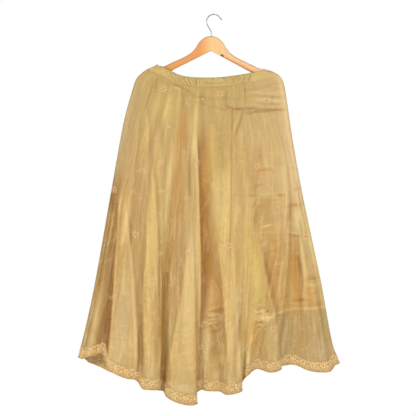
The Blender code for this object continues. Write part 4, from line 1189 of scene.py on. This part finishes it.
def sewLining(ends, facing, name, nodeName):
    top = skirt["bandHeight"] + lining["drop"]
    drop = skirt["backDrop"] if facing > 0 else 0
    share = np.linspace(0, 1, lining["rows"])
    sides = (skirt["leftSide"], skirt["rightSide"])
    rounds = [roundLines(side, share, top, turn, float(onTable(ends, side[-1][0])[0]))
              for side, turn in zip(sides, (1, -1))]
    mids = [float(onSide(side, skirt["midLevel"])[0]) for side in sides]
    spans = [(sides[0][0][0], sides[1][0][0]), mids, (sides[0][-1][0], sides[1][-1][0])]
    spans = [(a + lining["room"], b - lining["room"]) for a, b in spans]
    body = []
    for i in range(lining["lines"]):
        waistX, midX, hemX = (a + (b - a) * i / (lining["lines"] - 1) for a, b in spans)
        hemZ = float(onTable(lining["hemLine"], hemX)[0])
        x, z, _ = linePath(waistX, midX, hemX, hemZ, drop, share, top, float(onTable(ends, hemX)[0]))
        body.append(np.stack([x, z], axis=-1))
    flat = np.concatenate([rounds[0], np.stack(body, axis=1), rounds[1][:, ::-1]], axis=1)
    depth = smoothDepth(flat[..., 0], flat[..., 1])
    depth[:, [0, -1]] = 0
    grid = np.stack([flat[..., 0], facing * depth, flat[..., 1]], axis=-1)
    points = (grid + gridNormals(grid, facing) * lining["offset"]) * mm
    across, down = alongRows(points), alongColumns(points)
    piece = clothPiece(name, points, facing, np.stack([across, -down], axis=-1), None, liningSatin,
                       lining["thickness"])
    finish(piece, "lining_satin", nodeName)
    width, length = float(across[-1, -1]), float(down[-1].max())
    cut = float(across[0, -1]), width, length
    print(name, "sewn: top, hem and length", *(round(v, 3) for v in cut))
    return points[-1]


gores = {
    # piece, node, and the fold at whose foot its seam with the next gore runs
    "front": [("goreFrontLeft", "gore_front_left", "strip"),
              ("goreFrontMidLeft", "gore_front_mid_left", "seamRidge"),
              ("goreFrontMidRight", "gore_front_mid_right", "rightEdge"),
              ("goreFrontRight", "gore_front_right", None)],
    "back": [("goreBackLeft", "gore_back_left", "back3"),
             ("goreBackMidLeft", "gore_back_mid_left", "back5"),
             ("goreBackMidRight", "gore_back_mid_right", "back7"),
             ("goreBackRight", "gore_back_right", None)],
    "thickness": 0.0005,
    "seamDepth": {"seamRidge": 0.0004, "back5": 0.0004, "rightEdge": 0.00003, "other": 0.0002},
    "besideSeam": 0.35,
    "seamFade": (0.07, 0.05, 0.1),  # share of the way down where it starts, run, and depth above
    "cut": {},
}


def seamsOf(face):
    names = [nextFold for _, _, nextFold in gores[face["side"]] if nextFold]
    return [(name, goreColumn(face["folds"], name)) for name in names]


def pressSeams(face):
    # each seam sinks a little, over a column on either side, less near the waist
    start, run, least = gores["seamFade"]
    below = np.clip((np.arange(len(face["points"])) / skirt["rows"] - start) / run, least, 1)[:, None]
    for nextFold, column in seamsOf(face):
        depth = gores["seamDepth"].get(nextFold, gores["seamDepth"]["other"])
        for side, amount in ((0, 1.0), (-1, gores["besideSeam"]), (1, gores["besideSeam"])):
            sunk = face["normals"][:, column + side] * depth * amount * below
            face["points"][:, column + side] -= sunk


def sewGores(face, liningHem):
    pressSeams(face)
    tone = clothTone(face, liningHem)
    along = np.broadcast_to(face["across"][-1], face["across"].shape)
    uv = np.stack([along, -face["down"]], axis=-1)
    first = 0
    for name, nodeName, nextFold in gores[face["side"]]:
        last = goreColumn(face["folds"], nextFold) if nextFold else face["points"].shape[1] - 1
        part = (slice(None), slice(first, last + 1))
        piece = clothPiece(name, face["points"][part], face["facing"], uv[part], tone[part],
                           tissueOuter, gores["thickness"])
        finish(piece, "gold_tissue", nodeName)
        wide = face["across"][:, last] - face["across"][:, first]
        deep = face["down"][-1, first : last + 1]
        area = float(wide.mean() * deep.mean())
        gores["cut"][name] = (float(wide[0]), float(wide[-1]), float(deep.max()), area)
        first = last


sewGores(front, sewLining(lining["frontEnds"], -1, "liningFront", "lining_front"))
sewGores(back, sewLining(lining["backEnds"], 1, "liningBack", "lining_back"))
print("gores sewn:", {k: tuple(round(v, 3) for v in c) for k, c in gores["cut"].items()})

lace = {"height": 0.036, "scallop": 0.0035, "scallopEvery": 0.016, "lift": 0.0008, "thickness": 0.0005,
        "step": 0.003, "rows": 8, "flowerEvery": 0.0165, "flowerLift": 0.0005, "beadLift": 0.0006,
        "insideLift": -0.0004, "rollDiameter": 0.0026, "rollHeight": 0.0014, "rollLift": 0.0004}


def sewLace(face, name, nodeName):
    total = float(face["across"][-1, -1])
    along = np.arange(0, total, lace["step"])
    column = np.interp(along, face["across"][-1], np.arange(face["points"].shape[1]))
    column[0], column[-1] = 0, face["points"].shape[1] - 1
    deep = np.interp(column, np.arange(face["points"].shape[1]), face["down"][-1])
    rowStep = deep / (len(face["points"]) - 1)
    top = lace["height"] - lace["scallop"] * (1 - np.abs(np.cos(np.pi * along / lace["scallopEvery"])))
    level = np.linspace(1, 0, lace["rows"])[:, None]
    row = len(face["points"]) - 1 - level * top / rowStep
    points = liftedPoints(face, row, column[None], lace["lift"])
    uv = np.stack([np.repeat(along[None], lace["rows"], 0), level * top], axis=-1)
    piece = clothPiece(name, points, face["facing"], uv, None, floralLace, lace["thickness"])
    finish(piece, "floral_lace", nodeName)


sewLace(front, "hemLaceFront", "hem_lace_front")
sewLace(back, "hemLaceBack", "hem_lace_back")

# petals of each small shape: how many, how far out, length, width, rise, turn and corners; its thread
petals = {
    "motifPetals": ((6, 0.0074, 0.0092, 0.0036, 0.0008, 0, 8), "motifThread"),
    "motifTips": ((6, 0.0124, 0.0030, 0.0020, 0.0005, math.pi / 6, 8), "motifThread"),
    "motifHearts": ((5, 0.0014, 0.0026, 0.0020, 0.0006, 0, 8), "goldThread"),
    "insideStitches": ((1, 0, 0.0040, 0.0028, -0.0004, 0, 6), "insideThread"),
    "laceFlowers": ((5, 0.0036, 0.0042, 0.0034, 0.0009, 0, 8), "peachThread"),
    "laceFlowerHearts": ((4, 0.0010, 0.0018, 0.0016, 0.0007, 0, 8), "goldThread"),
    "laceBuds": ((5, 0.0020, 0.0025, 0.0020, 0.0006, 0, 6), "creamThread"),
    "laceLeaves": ((2, 0.0021, 0.0040, 0.0016, 0.0005, 0, 6), "creamThread"),
    "sequins": ((1, 0, 0.0019, 0.0019, 0.0004, 0, 6), "sequinGold"),
}
heartLift = 0.0004


def petalRing(count, radius, petalLength, petalWidth, rise, start, sides):
    # a ring of domed petals, each a poked circle, lying in X and Y with Z as its height
    bm = bmesh.new()
    for i in range(count):
        turn = start + 2 * math.pi * i / count
        matrix = (Matrix.Rotation(turn, 4, "Z") @ Matrix.Translation((radius, 0, 0))
                  @ Matrix.Diagonal((petalLength / 2, petalWidth / 2, 1, 1)))
        domedCircle(bm, sides, matrix, rise)
    return templateFrom(bm)


def domedCircle(bm, sides, matrix, rise):
    made = bmesh.ops.create_circle(bm, cap_ends=True, segments=sides, radius=1, matrix=matrix)
    middle = bmesh.ops.poke(bm, faces=[made["verts"][0].link_faces[0]])["verts"][0]
    middle.co.z += rise


def templateFrom(bm):
    # the corners and faces of one small shape, facing up
    bmesh.ops.recalc_face_normals(bm, faces=bm.faces)
    if sum(f.normal.z for f in bm.faces) < 0:
        bmesh.ops.reverse_faces(bm, faces=bm.faces)
    bm.verts.index_update()
    points = np.array([v.co[:] for v in bm.verts])
    faces = [[v.index for v in f.verts] for f in bm.faces]
    bm.free()
    return points, faces


def joinOn(name, template, spots, threadName, slot):
    # many copies of one small shape as a single mesh: spots are face, row, column, turn, size and lift
    points, faces = template
    allPoints, allFaces = [], []
    for face, r, c, turn, size, lift in spots:
        cos, sin = math.cos(turn) * size, math.sin(turn) * size
        right, up = points[:, 0] * cos - points[:, 1] * sin, points[:, 0] * sin + points[:, 1] * cos
        if face["facing"] > 0:
            right = -right
        start = len(allPoints) * len(points)
        allPoints.append(onCloth(face, r, c, right, up, lift + points[:, 2] * size))
        allFaces += [[start + i for i in f[:: -1 if lift < 0 else 1]] for f in faces]
    mesh = bpy.data.meshes.new(name)
    mesh.from_pydata(np.concatenate(allPoints).tolist(), [], allFaces)
    mesh.shade_smooth()
    return finish(objectFrom(name, mesh, spools[threadName]), slot)


def sewPetals(name, spots):
    shape, threadName = petals[name]
    joinOn(name, petalRing(*shape), spots, threadName, "floral_lace")


def placeOf(face, x, z):
    # row and column of the place on a face that shows at X and Z
    gap = np.hypot(face["points"][..., 0] - x * mm, face["points"][..., 2] - z * mm)
    return np.unravel_index(np.argmin(gap), gap.shape)


# X, Z, turn and size of each flower on the cloth
motifs = {
    "front": [(-152, -226, 0.2, 1.0), (18, -244, 0.6, 1.0), (161, -262, 0.1, 1.0), (-49, -454, 0.9, 0.9),
              (131, -464, 0.4, 0.95), (-302, -530, 0.3, 0.9), (-238, -668, 0.7, 1.1), (-77, -727, 0.2, 1.0),
              (44, -702, 0.5, 1.1), (279, -677, 0.8, 1.1), (-40, -1007, 0.3, 0.75), (178, -952, 0.6, 1.0),
              (-160, -450, 0.5, 0.8)],
    "back": [(-150, -240, 0.3, 1.0), (10, -250, 0.7, 1.0), (150, -270, 0.2, 1.0), (-90, -450, 0.4, 1.0),
             (80, -440, 0.8, 1.0), (-220, -560, 0.1, 1.0), (200, -560, 0.5, 1.0), (0, -640, 0.6, 1.0),
             (-140, -760, 0.9, 1.0), (140, -760, 0.2, 1.0), (-260, -860, 0.5, 1.0), (20, -900, 0.3, 1.0),
             (250, -880, 0.7, 1.0), (-60, -1020, 0.4, 1.0), (160, -990, 0.6, 1.0)],
    "lift": 0.0007,
}


def hearts(spots):
    return [(*spot, lift + heartLift) for *spot, lift in spots]


def sewMotifs():
    spots = []
    for face in (front, back):
        for x, z, turn, size in motifs[face["side"]]:
            spots.append((face, *placeOf(face, x, z), turn, size, motifs["lift"]))
    sewPetals("motifPetals", spots)
    sewPetals("motifTips", spots)
    sewPetals("motifHearts", hearts(spots))


# what is sewn round each flower of the lace; heights above the hem are for even and for odd flowers
spray = {
    "heights": (0.0150, 0.0205),
    "sizes": (0.9, 1.4),
    "sizeRange": (0.9, 1.1),
    "buds": [  # way along, heights, size
        (0.0005, (0.0290, 0.0095), 1.0), (-0.0070, (0.0300, 0.0300), 0.7), (0.0070, (0.0075, 0.0075), 0.7),
    ],
    "budTurn": 300,
    "leaves": [  # way along, heights, lean
        (0.0085, (0.0205, 0.0205), 1.1), (-0.0050, (0.0265, 0.0215), 2.2),
        (-0.0060, (0.0120, 0.0120), 0.5), (0.0070, (0.0300, 0.0300), 2.8),
    ],
    "oddTurn": 0.5,
    "leafRange": (0.8, 1.2),
    "beads": 7,
    "beadReach": (-0.009, 0.009),
    "beadHeights": (0.005, 0.034),
    "beadRange": (0.7, 1.1),
}


def sewLaceFlowers():
    # flowers in two rows by turns, with buds, leaves and sequins between
    random = np.random.default_rng(11)
    big, small, leaves, beads = [], [], [], []
    lift = lace["lift"] + lace["flowerLift"]
    for face in (front, back):
        total = float(face["across"][-1, -1])
        count = int(total / lace["flowerEvery"])
        for i in range(count):
            along = (i + 0.5) * total / count
            odd = i % 2
            place = nearHem(face, along, spray["heights"][odd])
            size = float(random.uniform(*spray["sizeRange"])) * spray["sizes"][odd]
            big.append((face, *place, float(random.uniform(0, math.pi)), size, lift))
            for away, heights, size in spray["buds"]:
                place = nearHem(face, along + away, heights[odd])
                small.append((face, *place, away * spray["budTurn"], size, lift))
            for away, heights, lean in spray["leaves"]:
                place = nearHem(face, along + away, heights[odd])
                turn, size = lean + spray["oddTurn"] * odd, float(random.uniform(*spray["leafRange"]))
                leaves.append((face, *place, turn, size, lift))
            for _ in range(spray["beads"]):
                away = float(random.uniform(*spray["beadReach"]))
                place = nearHem(face, along + away, float(random.uniform(*spray["beadHeights"])))
                size = float(random.uniform(*spray["beadRange"]))
                beads.append((face, *place, 0.0, size, lift + lace["beadLift"]))
    inside = [(*spot, lace["insideLift"]) for *spot, _ in small + leaves if spot[0] is back]
    sewPetals("insideStitches", inside)
    sewPetals("laceFlowers", big)
    sewPetals("laceFlowerHearts", hearts(big))
    sewPetals("laceBuds", small)
    sewPetals("laceLeaves", leaves)
    sewPetals("sequins", beads)
    print("lace:", len(big), "flowers,", len(small), "buds,", len(leaves), "leaves,", len(beads), "sequins")


def tubeAlong(name, path, radius, finishUsed, slot, sides=6):
    # a thin round roll or thread that follows a path
    curve = bpy.data.curves.new(name, "CURVE")
    curve.dimensions = "3D"
    curve.bevel_depth = radius
    curve.bevel_resolution = max(sides // 4, 1)
    curve.use_fill_caps = True
    spline = curve.splines.new("POLY")
    spline.points.add(len(path) - 1)
    for point, place in zip(spline.points, path):
        point.co = (*place, 1)
    made = bpy.data.objects.new(name + "Curve", curve)
    bpy.context.scene.collection.objects.link(made)
    mesh = bpy.data.meshes.new_from_object(made.evaluated_get(bpy.context.evaluated_depsgraph_get()))
    bpy.data.objects.remove(made)
    mesh.materials.clear()
    mesh.shade_smooth()
    return finish(objectFrom(name, mesh, finishUsed), slot)


def rollHem(face, name, step=0.004, fromEnd=0.001):
    # a thin gold roll along the very edge
    total = float(face["across"][-1, -1])
    along = np.linspace(fromEnd, total - fromEnd, int(total / step))
    column = np.interp(along, face["across"][-1], np.arange(face["points"].shape[1]))
    rows = len(face["points"]) - 1
    row = rows - lace["rollHeight"] / (face["down"][-1].mean() / rows)
    path = liftedPoints(face, row, column, lace["lift"] + lace["rollLift"])
    tubeAlong(name, path, lace["rollDiameter"] / 2, spools["goldThread"], "floral_lace")


sewMotifs()
sewLaceFlowers()
rollHem(front, "hemRollFront")
rollHem(back, "hemRollBack")
print("lace sewn")

stitch = {"length": 0.0024, "pitch": 0.0036, "width": 0.00045, "height": 0.00035, "aboveHem": 0.0042,
          "besideSeam": 1.2, "lift": 0.0004, "bandLift": 0.0001, "fromSide": 0.004, "fromBandSide": 0.006,
          "fromBandEdge": 0.9}


def stitchTemplate():
    bm = bmesh.new()
    domedCircle(bm, 6, Matrix.Diagonal((stitch["length"] / 2, stitch["width"], 1, 1)), stitch["height"])
    return templateFrom(bm)


def sewStitches():
    seams, band = [], []
    for face in (front, back):
        rows = len(face["points"])
        ends = stitch["fromSide"], float(face["across"][-1, -1]) - stitch["fromSide"]
        for along in np.arange(*ends, stitch["pitch"]):
            place = nearHem(face, along, stitch["aboveHem"])
            seams.append((face, *place, 0.0, 1.0, lace["lift"] + stitch["lift"]))
        for _, seam in seamsOf(face):
            column = seam + stitch["besideSeam"]
            rowStep = float(face["down"][-1, int(column)]) / (rows - 1)
            for row in np.arange(2, rows - 7, stitch["pitch"] / rowStep):
                seams.append((face, row, column, math.pi / 2, 1.0, stitch["lift"]))
    for face in (bandFront, bandBack):
        columns = np.arange(face["points"].shape[1])
        ends = stitch["fromBandSide"], float(face["across"][0, -1]) - stitch["fromBandSide"]
        for row in (stitch["fromBandEdge"], len(face["points"]) - 1 - stitch["fromBandEdge"]):
            for along in np.arange(*ends, stitch["pitch"]):
                column = np.interp(along, face["across"][0], columns)
                band.append((face, row, column, 0.0, 1.0, waistband["thickness"] / 2 + stitch["bandLift"]))
    joinOn("seamStitches", stitchTemplate(), seams, "seamThread", "gold_tissue")
    joinOn("waistStitches", stitchTemplate(), band, "seamThread", "gold_tissue")
    print("stitches:", len(seams) + len(band))


sewStitches()

hanger = {
    "middleX": -7.5,
    "tilt": 0.9,
    "thickness": 13.0,
    "edgeRadius": 4.2,
    "top": [(0, -65), (13, -67), (26, -74), (38, -86), (49, -104), (62, -118), (85, -132), (113, -145),
            (146, -160.5), (163, -162.5), (180, -168), (198, -180), (207, -190), (212, -200)],
    "tip": [(214.5, -208), (212, -216), (205, -219)],
    "tipRun": 8,
    "crotch": -110,
    "slope": 27.4,
    "knot": (25, -125.7),
}


# the under-arm colour is painted shade along the right arm's lower edge, and the top-edge colour painted
# shade on faces turned upward
beech = {
    "leftArm": linear(220, 148, 76), "rightArm": linear(236, 202, 150),
    "leftHead": linear(216, 146, 78), "rightHead": linear(232, 188, 128),
    "grain": linear(200, 128, 60), "rays": linear(176, 104, 48), "headGrain": linear(220, 160, 90),
    "underArmShade": linear(206, 126, 52), "topEdgeShade": linear(128, 84, 44), "knot": linear(104, 44, 16),
    "coat": 0.35, "coatRoughness": 0.2,
}


def woodMaterial():
    made, nodes, links, shader = material("varnishedBeech")
    place = node(nodes, "ShaderNodeTexCoord").outputs["Object"]
    split = node(nodes, "ShaderNodeSeparateXYZ")
    links.new(place, split.inputs[0])
    offset = node(nodes, "ShaderNodeMath", operation="ADD")
    links.new(split.outputs["X"], offset.inputs[0])
    offset.inputs[1].default_value = -hanger["middleX"] * mm
    away = node(nodes, "ShaderNodeMath", operation="ABSOLUTE")
    links.new(offset.outputs[0], away.inputs[0])
    level = node(nodes, "ShaderNodeMath", operation="MULTIPLY_ADD")
    links.new(away.outputs[0], level.inputs[0])
    level.inputs[1].default_value = math.tan(math.radians(hanger["slope"]))
    links.new(split.outputs["Z"], level.inputs[2])
    alongArm = node(nodes, "ShaderNodeCombineXYZ")
    links.new(split.outputs["X"], alongArm.inputs[0])
    links.new(split.outputs["Y"], alongArm.inputs[1])
    links.new(level.outputs[0], alongArm.inputs[2])
    grain = noiseOn(nodes, links, alongArm.outputs[0], (9, 160, 330), 1.0, 5, 0.6)
    rays = noiseOn(nodes, links, alongArm.outputs[0], (60, 700, 1500), 1.0, 2, 0.5)
    upright = noiseOn(nodes, links, place, (420, 160, 22), 1.0, 4, 0.6)
    side = ramp(nodes, links, split.outputs["X"], -0.03, 0.03)
    arms = ramp(nodes, links, away.outputs[0], 0.022, 0.048)
    wood = mixColour(nodes, links, side, beech["leftArm"], beech["rightArm"])
    wood = mixColour(nodes, links, ramp(nodes, links, grain, 0.40, 0.62, 0, 0.6), wood, beech["grain"])
    wood = mixColour(nodes, links, ramp(nodes, links, rays, 0.50, 0.70, 0, 0.3), wood, beech["rays"])
    # painted shade along the lower edge of the right arm
    underShade = times(nodes, links, ramp(nodes, links, level.outputs[0], -0.1030, -0.1075, 0, 0.8), side)
    wood = mixColour(nodes, links, underShade, wood, beech["underArmShade"])
    across = ramp(nodes, links, split.outputs["X"], -0.045, 0.0)
    head = mixColour(nodes, links, across, beech["leftHead"], beech["rightHead"])
    head = mixColour(nodes, links, ramp(nodes, links, upright, 0.42, 0.62, 0, 0.4), head, beech["headGrain"])
    wood = mixColour(nodes, links, arms, head, wood)
    # painted shade on the faces turned upward, a dark line along the top edges
    facing = node(nodes, "ShaderNodeSeparateXYZ")
    links.new(node(nodes, "ShaderNodeTexCoord").outputs["Normal"], facing.inputs[0])
    upwardShade = ramp(nodes, links, facing.outputs["Z"], 0.15, 0.6, 0, 0.8)
    wood = mixColour(nodes, links, upwardShade, wood, beech["topEdgeShade"])
    knot = node(nodes, "ShaderNodeVectorMath", operation="DISTANCE")
    links.new(place, knot.inputs[0])  # a small knot low on the right arm
    knot.inputs[1].default_value = (hanger["knot"][0] * mm, -0.0065, hanger["knot"][1] * mm)
    near = ramp(nodes, links, knot.outputs["Value"], 0.0075, 0.002)
    wood = mixColour(nodes, links, near, wood, beech["knot"])
    links.new(wood, shader.inputs["Base Color"])
    links.new(ramp(nodes, links, grain, 0.3, 0.7, 0.30, 0.42), shader.inputs["Roughness"])
    shader.inputs["Coat Weight"].default_value = beech["coat"]
    shader.inputs["Coat Roughness"].default_value = beech["coatRoughness"]
    bumpFrom(nodes, links, shader, grain, 0.12, 0.0006)
    return made


def steelMaterial():
    made, nodes, links, shader = material("steelWire")
    place = node(nodes, "ShaderNodeTexCoord").outputs["Object"]
    draw = noiseOn(nodes, links, place, (220, 220, 60), 1.0, 3)
    colour = mixColour(nodes, links, draw, linear(120, 120, 118), linear(168, 168, 166))
    links.new(colour, shader.inputs["Base Color"])
    links.new(ramp(nodes, links, draw, 0.3, 0.7, 0.22, 0.34), shader.inputs["Roughness"])
    shader.inputs["Metallic"].default_value = 1
    return made


def carveHanger():
    # one half of the outline is drawn, mirrored, given its thickness and rounded
    armX = hanger["tip"][-1][0] - hanger["tipRun"]
    armZ = hanger["crotch"] - math.tan(math.radians(hanger["slope"])) * armX
    half = [*hanger["top"], *hanger["tip"], (armX, armZ)]
    rise = np.linspace(0, 1, 61)
    upper = onTable([(i, *p) for i, p in enumerate(half[:-1])], rise * (len(half) - 2))
    right = [tuple(p) for p in upper] + [half[-1]]
    loop = [*right, (0, hanger["crotch"]), *[(-x, z) for x, z in right[:0:-1]]]
    bm = bmesh.new()
    corners = [bm.verts.new(Vector((x, -hanger["thickness"] / 2, z)) * mm) for x, z in loop]
    plate = bm.faces.new(corners)
    grown = bmesh.ops.extrude_face_region(bm, geom=[plate])
    moved = [v for v in grown["geom"] if isinstance(v, bmesh.types.BMVert)]
    bmesh.ops.translate(bm, verts=moved, vec=(0, hanger["thickness"] * mm, 0))
    bmesh.ops.recalc_face_normals(bm, faces=bm.faces)
    rims = [e for e in bm.edges if abs(e.verts[0].co.y - e.verts[1].co.y) < 1e-5]
    bmesh.ops.bevel(bm, geom=rims, offset=hanger["edgeRadius"] * mm, segments=5, profile=0.5, affect="EDGES",
                    material=-1)
    flats = [f for f in bm.faces if abs(f.normal.y) > 0.999 and f.calc_area() > 1e-3]
    bmesh.ops.inset_region(bm, faces=flats, thickness=0.0008)
    top = hanger["top"][0][1] * mm
    tilted = Matrix.Rotation(math.radians(hanger["tilt"]), 4, "Y")
    turn = Matrix.Translation((hanger["middleX"] * mm, 0, top)) @ tilted @ Matrix.Translation((0, 0, -top))
    bmesh.ops.transform(bm, verts=bm.verts, matrix=turn)
    bmesh.ops.recalc_face_normals(bm, faces=bm.faces)
    mesh = bpy.data.meshes.new("woodHanger")
    bm.to_mesh(mesh)
    bm.free()
    mesh.shade_smooth()
    return finish(objectFrom("woodHanger", mesh, woodMaterial()), "pale_wood", "hanger")


hook = {"wire": 3.2, "radius": 22.0, "back": 200.0, "mouth": 40.0, "tip": 12.0, "bend": -54.0, "inWood": 14.0,
        "slant": [(1.5, 5), (5, 11)]}


def bendHook():
    centreZ = hook["wire"] / 2 - hook["radius"]
    x0, top = hanger["middleX"], hanger["top"][0][1]
    corners = [(x0, top - hook["inWood"]), (x0, top), (x0, (top + hook["bend"]) / 2), (x0, hook["bend"])]
    corners += [(x0 - x, hook["bend"] + z) for x, z in hook["slant"]]
    for angle in np.radians(np.linspace(hook["back"], hook["mouth"], 15)):
        corners.append((hook["radius"] * math.cos(angle), centreZ + hook["radius"] * math.sin(angle)))
    slope = math.radians(hook["mouth"])
    x, z = corners[-1]
    for part in (0.5, 1.0):
        corners.append((x + hook["tip"] * part * math.sin(slope), z - hook["tip"] * part * math.cos(slope)))
    steps = np.linalg.norm(np.diff(np.array(corners), axis=0), axis=1)
    along = np.concatenate([[0], np.cumsum(steps)])
    smooth = smoothAt(along, corners, np.linspace(0, along[-1], 90))
    path = [(p[0] * mm, 0, p[1] * mm) for p in smooth]
    wire = tubeAlong("hookWire", path, hook["wire"] / 2 * mm, steelMaterial(), "steel_wire", 16)
    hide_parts("hook")


carveHanger()
bendHook()
print("hanger and hook made")

studio = {
    "floorZ": -1.75, "floorSize": 2.2, "floorColour": (0.86, 0.86, 0.85, 1), "floorRoughness": 0.8,
    "ambient": 0.80,
    "lights": {  # place, target, size, power, colour
        "key": ((-2.4, -2.3, 0.1), (0, 0, -0.7), 0.9, 45, (1, 0.99, 0.97)),
        "fill": ((2.4, -2.2, 0.0), (0, 0, -0.7), 1.6, 28, (1, 1, 1)),
        "rim": ((0.6, 2.4, 0.8), (0, 0, -0.6), 1.5, 32, (1, 1, 1)),
    },
}


def addLight(name, place, target, size, power, colour):
    data = bpy.data.lights.new(name, "AREA")
    data.shape = "DISK"
    data.size = size
    data.energy = power
    data.color = colour
    lamp = bpy.data.objects.new(name, data)
    lamp.location = place
    lamp.rotation_euler = (Vector(target) - Vector(place)).to_track_quat("-Z", "Y").to_euler()
    bpy.context.scene.collection.objects.link(lamp)


def addStudio():
    bm = bmesh.new()
    bmesh.ops.create_grid(bm, x_segments=1, y_segments=1, size=studio["floorSize"])
    bmesh.ops.translate(bm, verts=bm.verts, vec=(0, 0, studio["floorZ"]))
    mesh = bpy.data.meshes.new("paleFloor")
    bm.to_mesh(mesh)
    bm.free()
    made, _, _, shader = material("paleFloorPaint")
    shader.inputs["Base Color"].default_value = studio["floorColour"]
    shader.inputs["Roughness"].default_value = studio["floorRoughness"]
    objectFrom("paleFloor", mesh, made)
    world = bpy.data.worlds.new("softWhite")
    world.use_nodes = True
    nodes, links = world.node_tree.nodes, world.node_tree.links
    seen = node(nodes, "ShaderNodeLightPath").outputs["Is Camera Ray"]
    nodes["Background"].inputs["Color"].default_value = (1, 1, 1, 1)
    links.new(ramp(nodes, links, seen, 0, 1, studio["ambient"], 1.0), nodes["Background"].inputs["Strength"])
    bpy.context.scene.world = world
    bpy.context.scene.view_settings.view_transform = "Standard"
    for name, light in studio["lights"].items():
        addLight(name, *light)


addStudio()
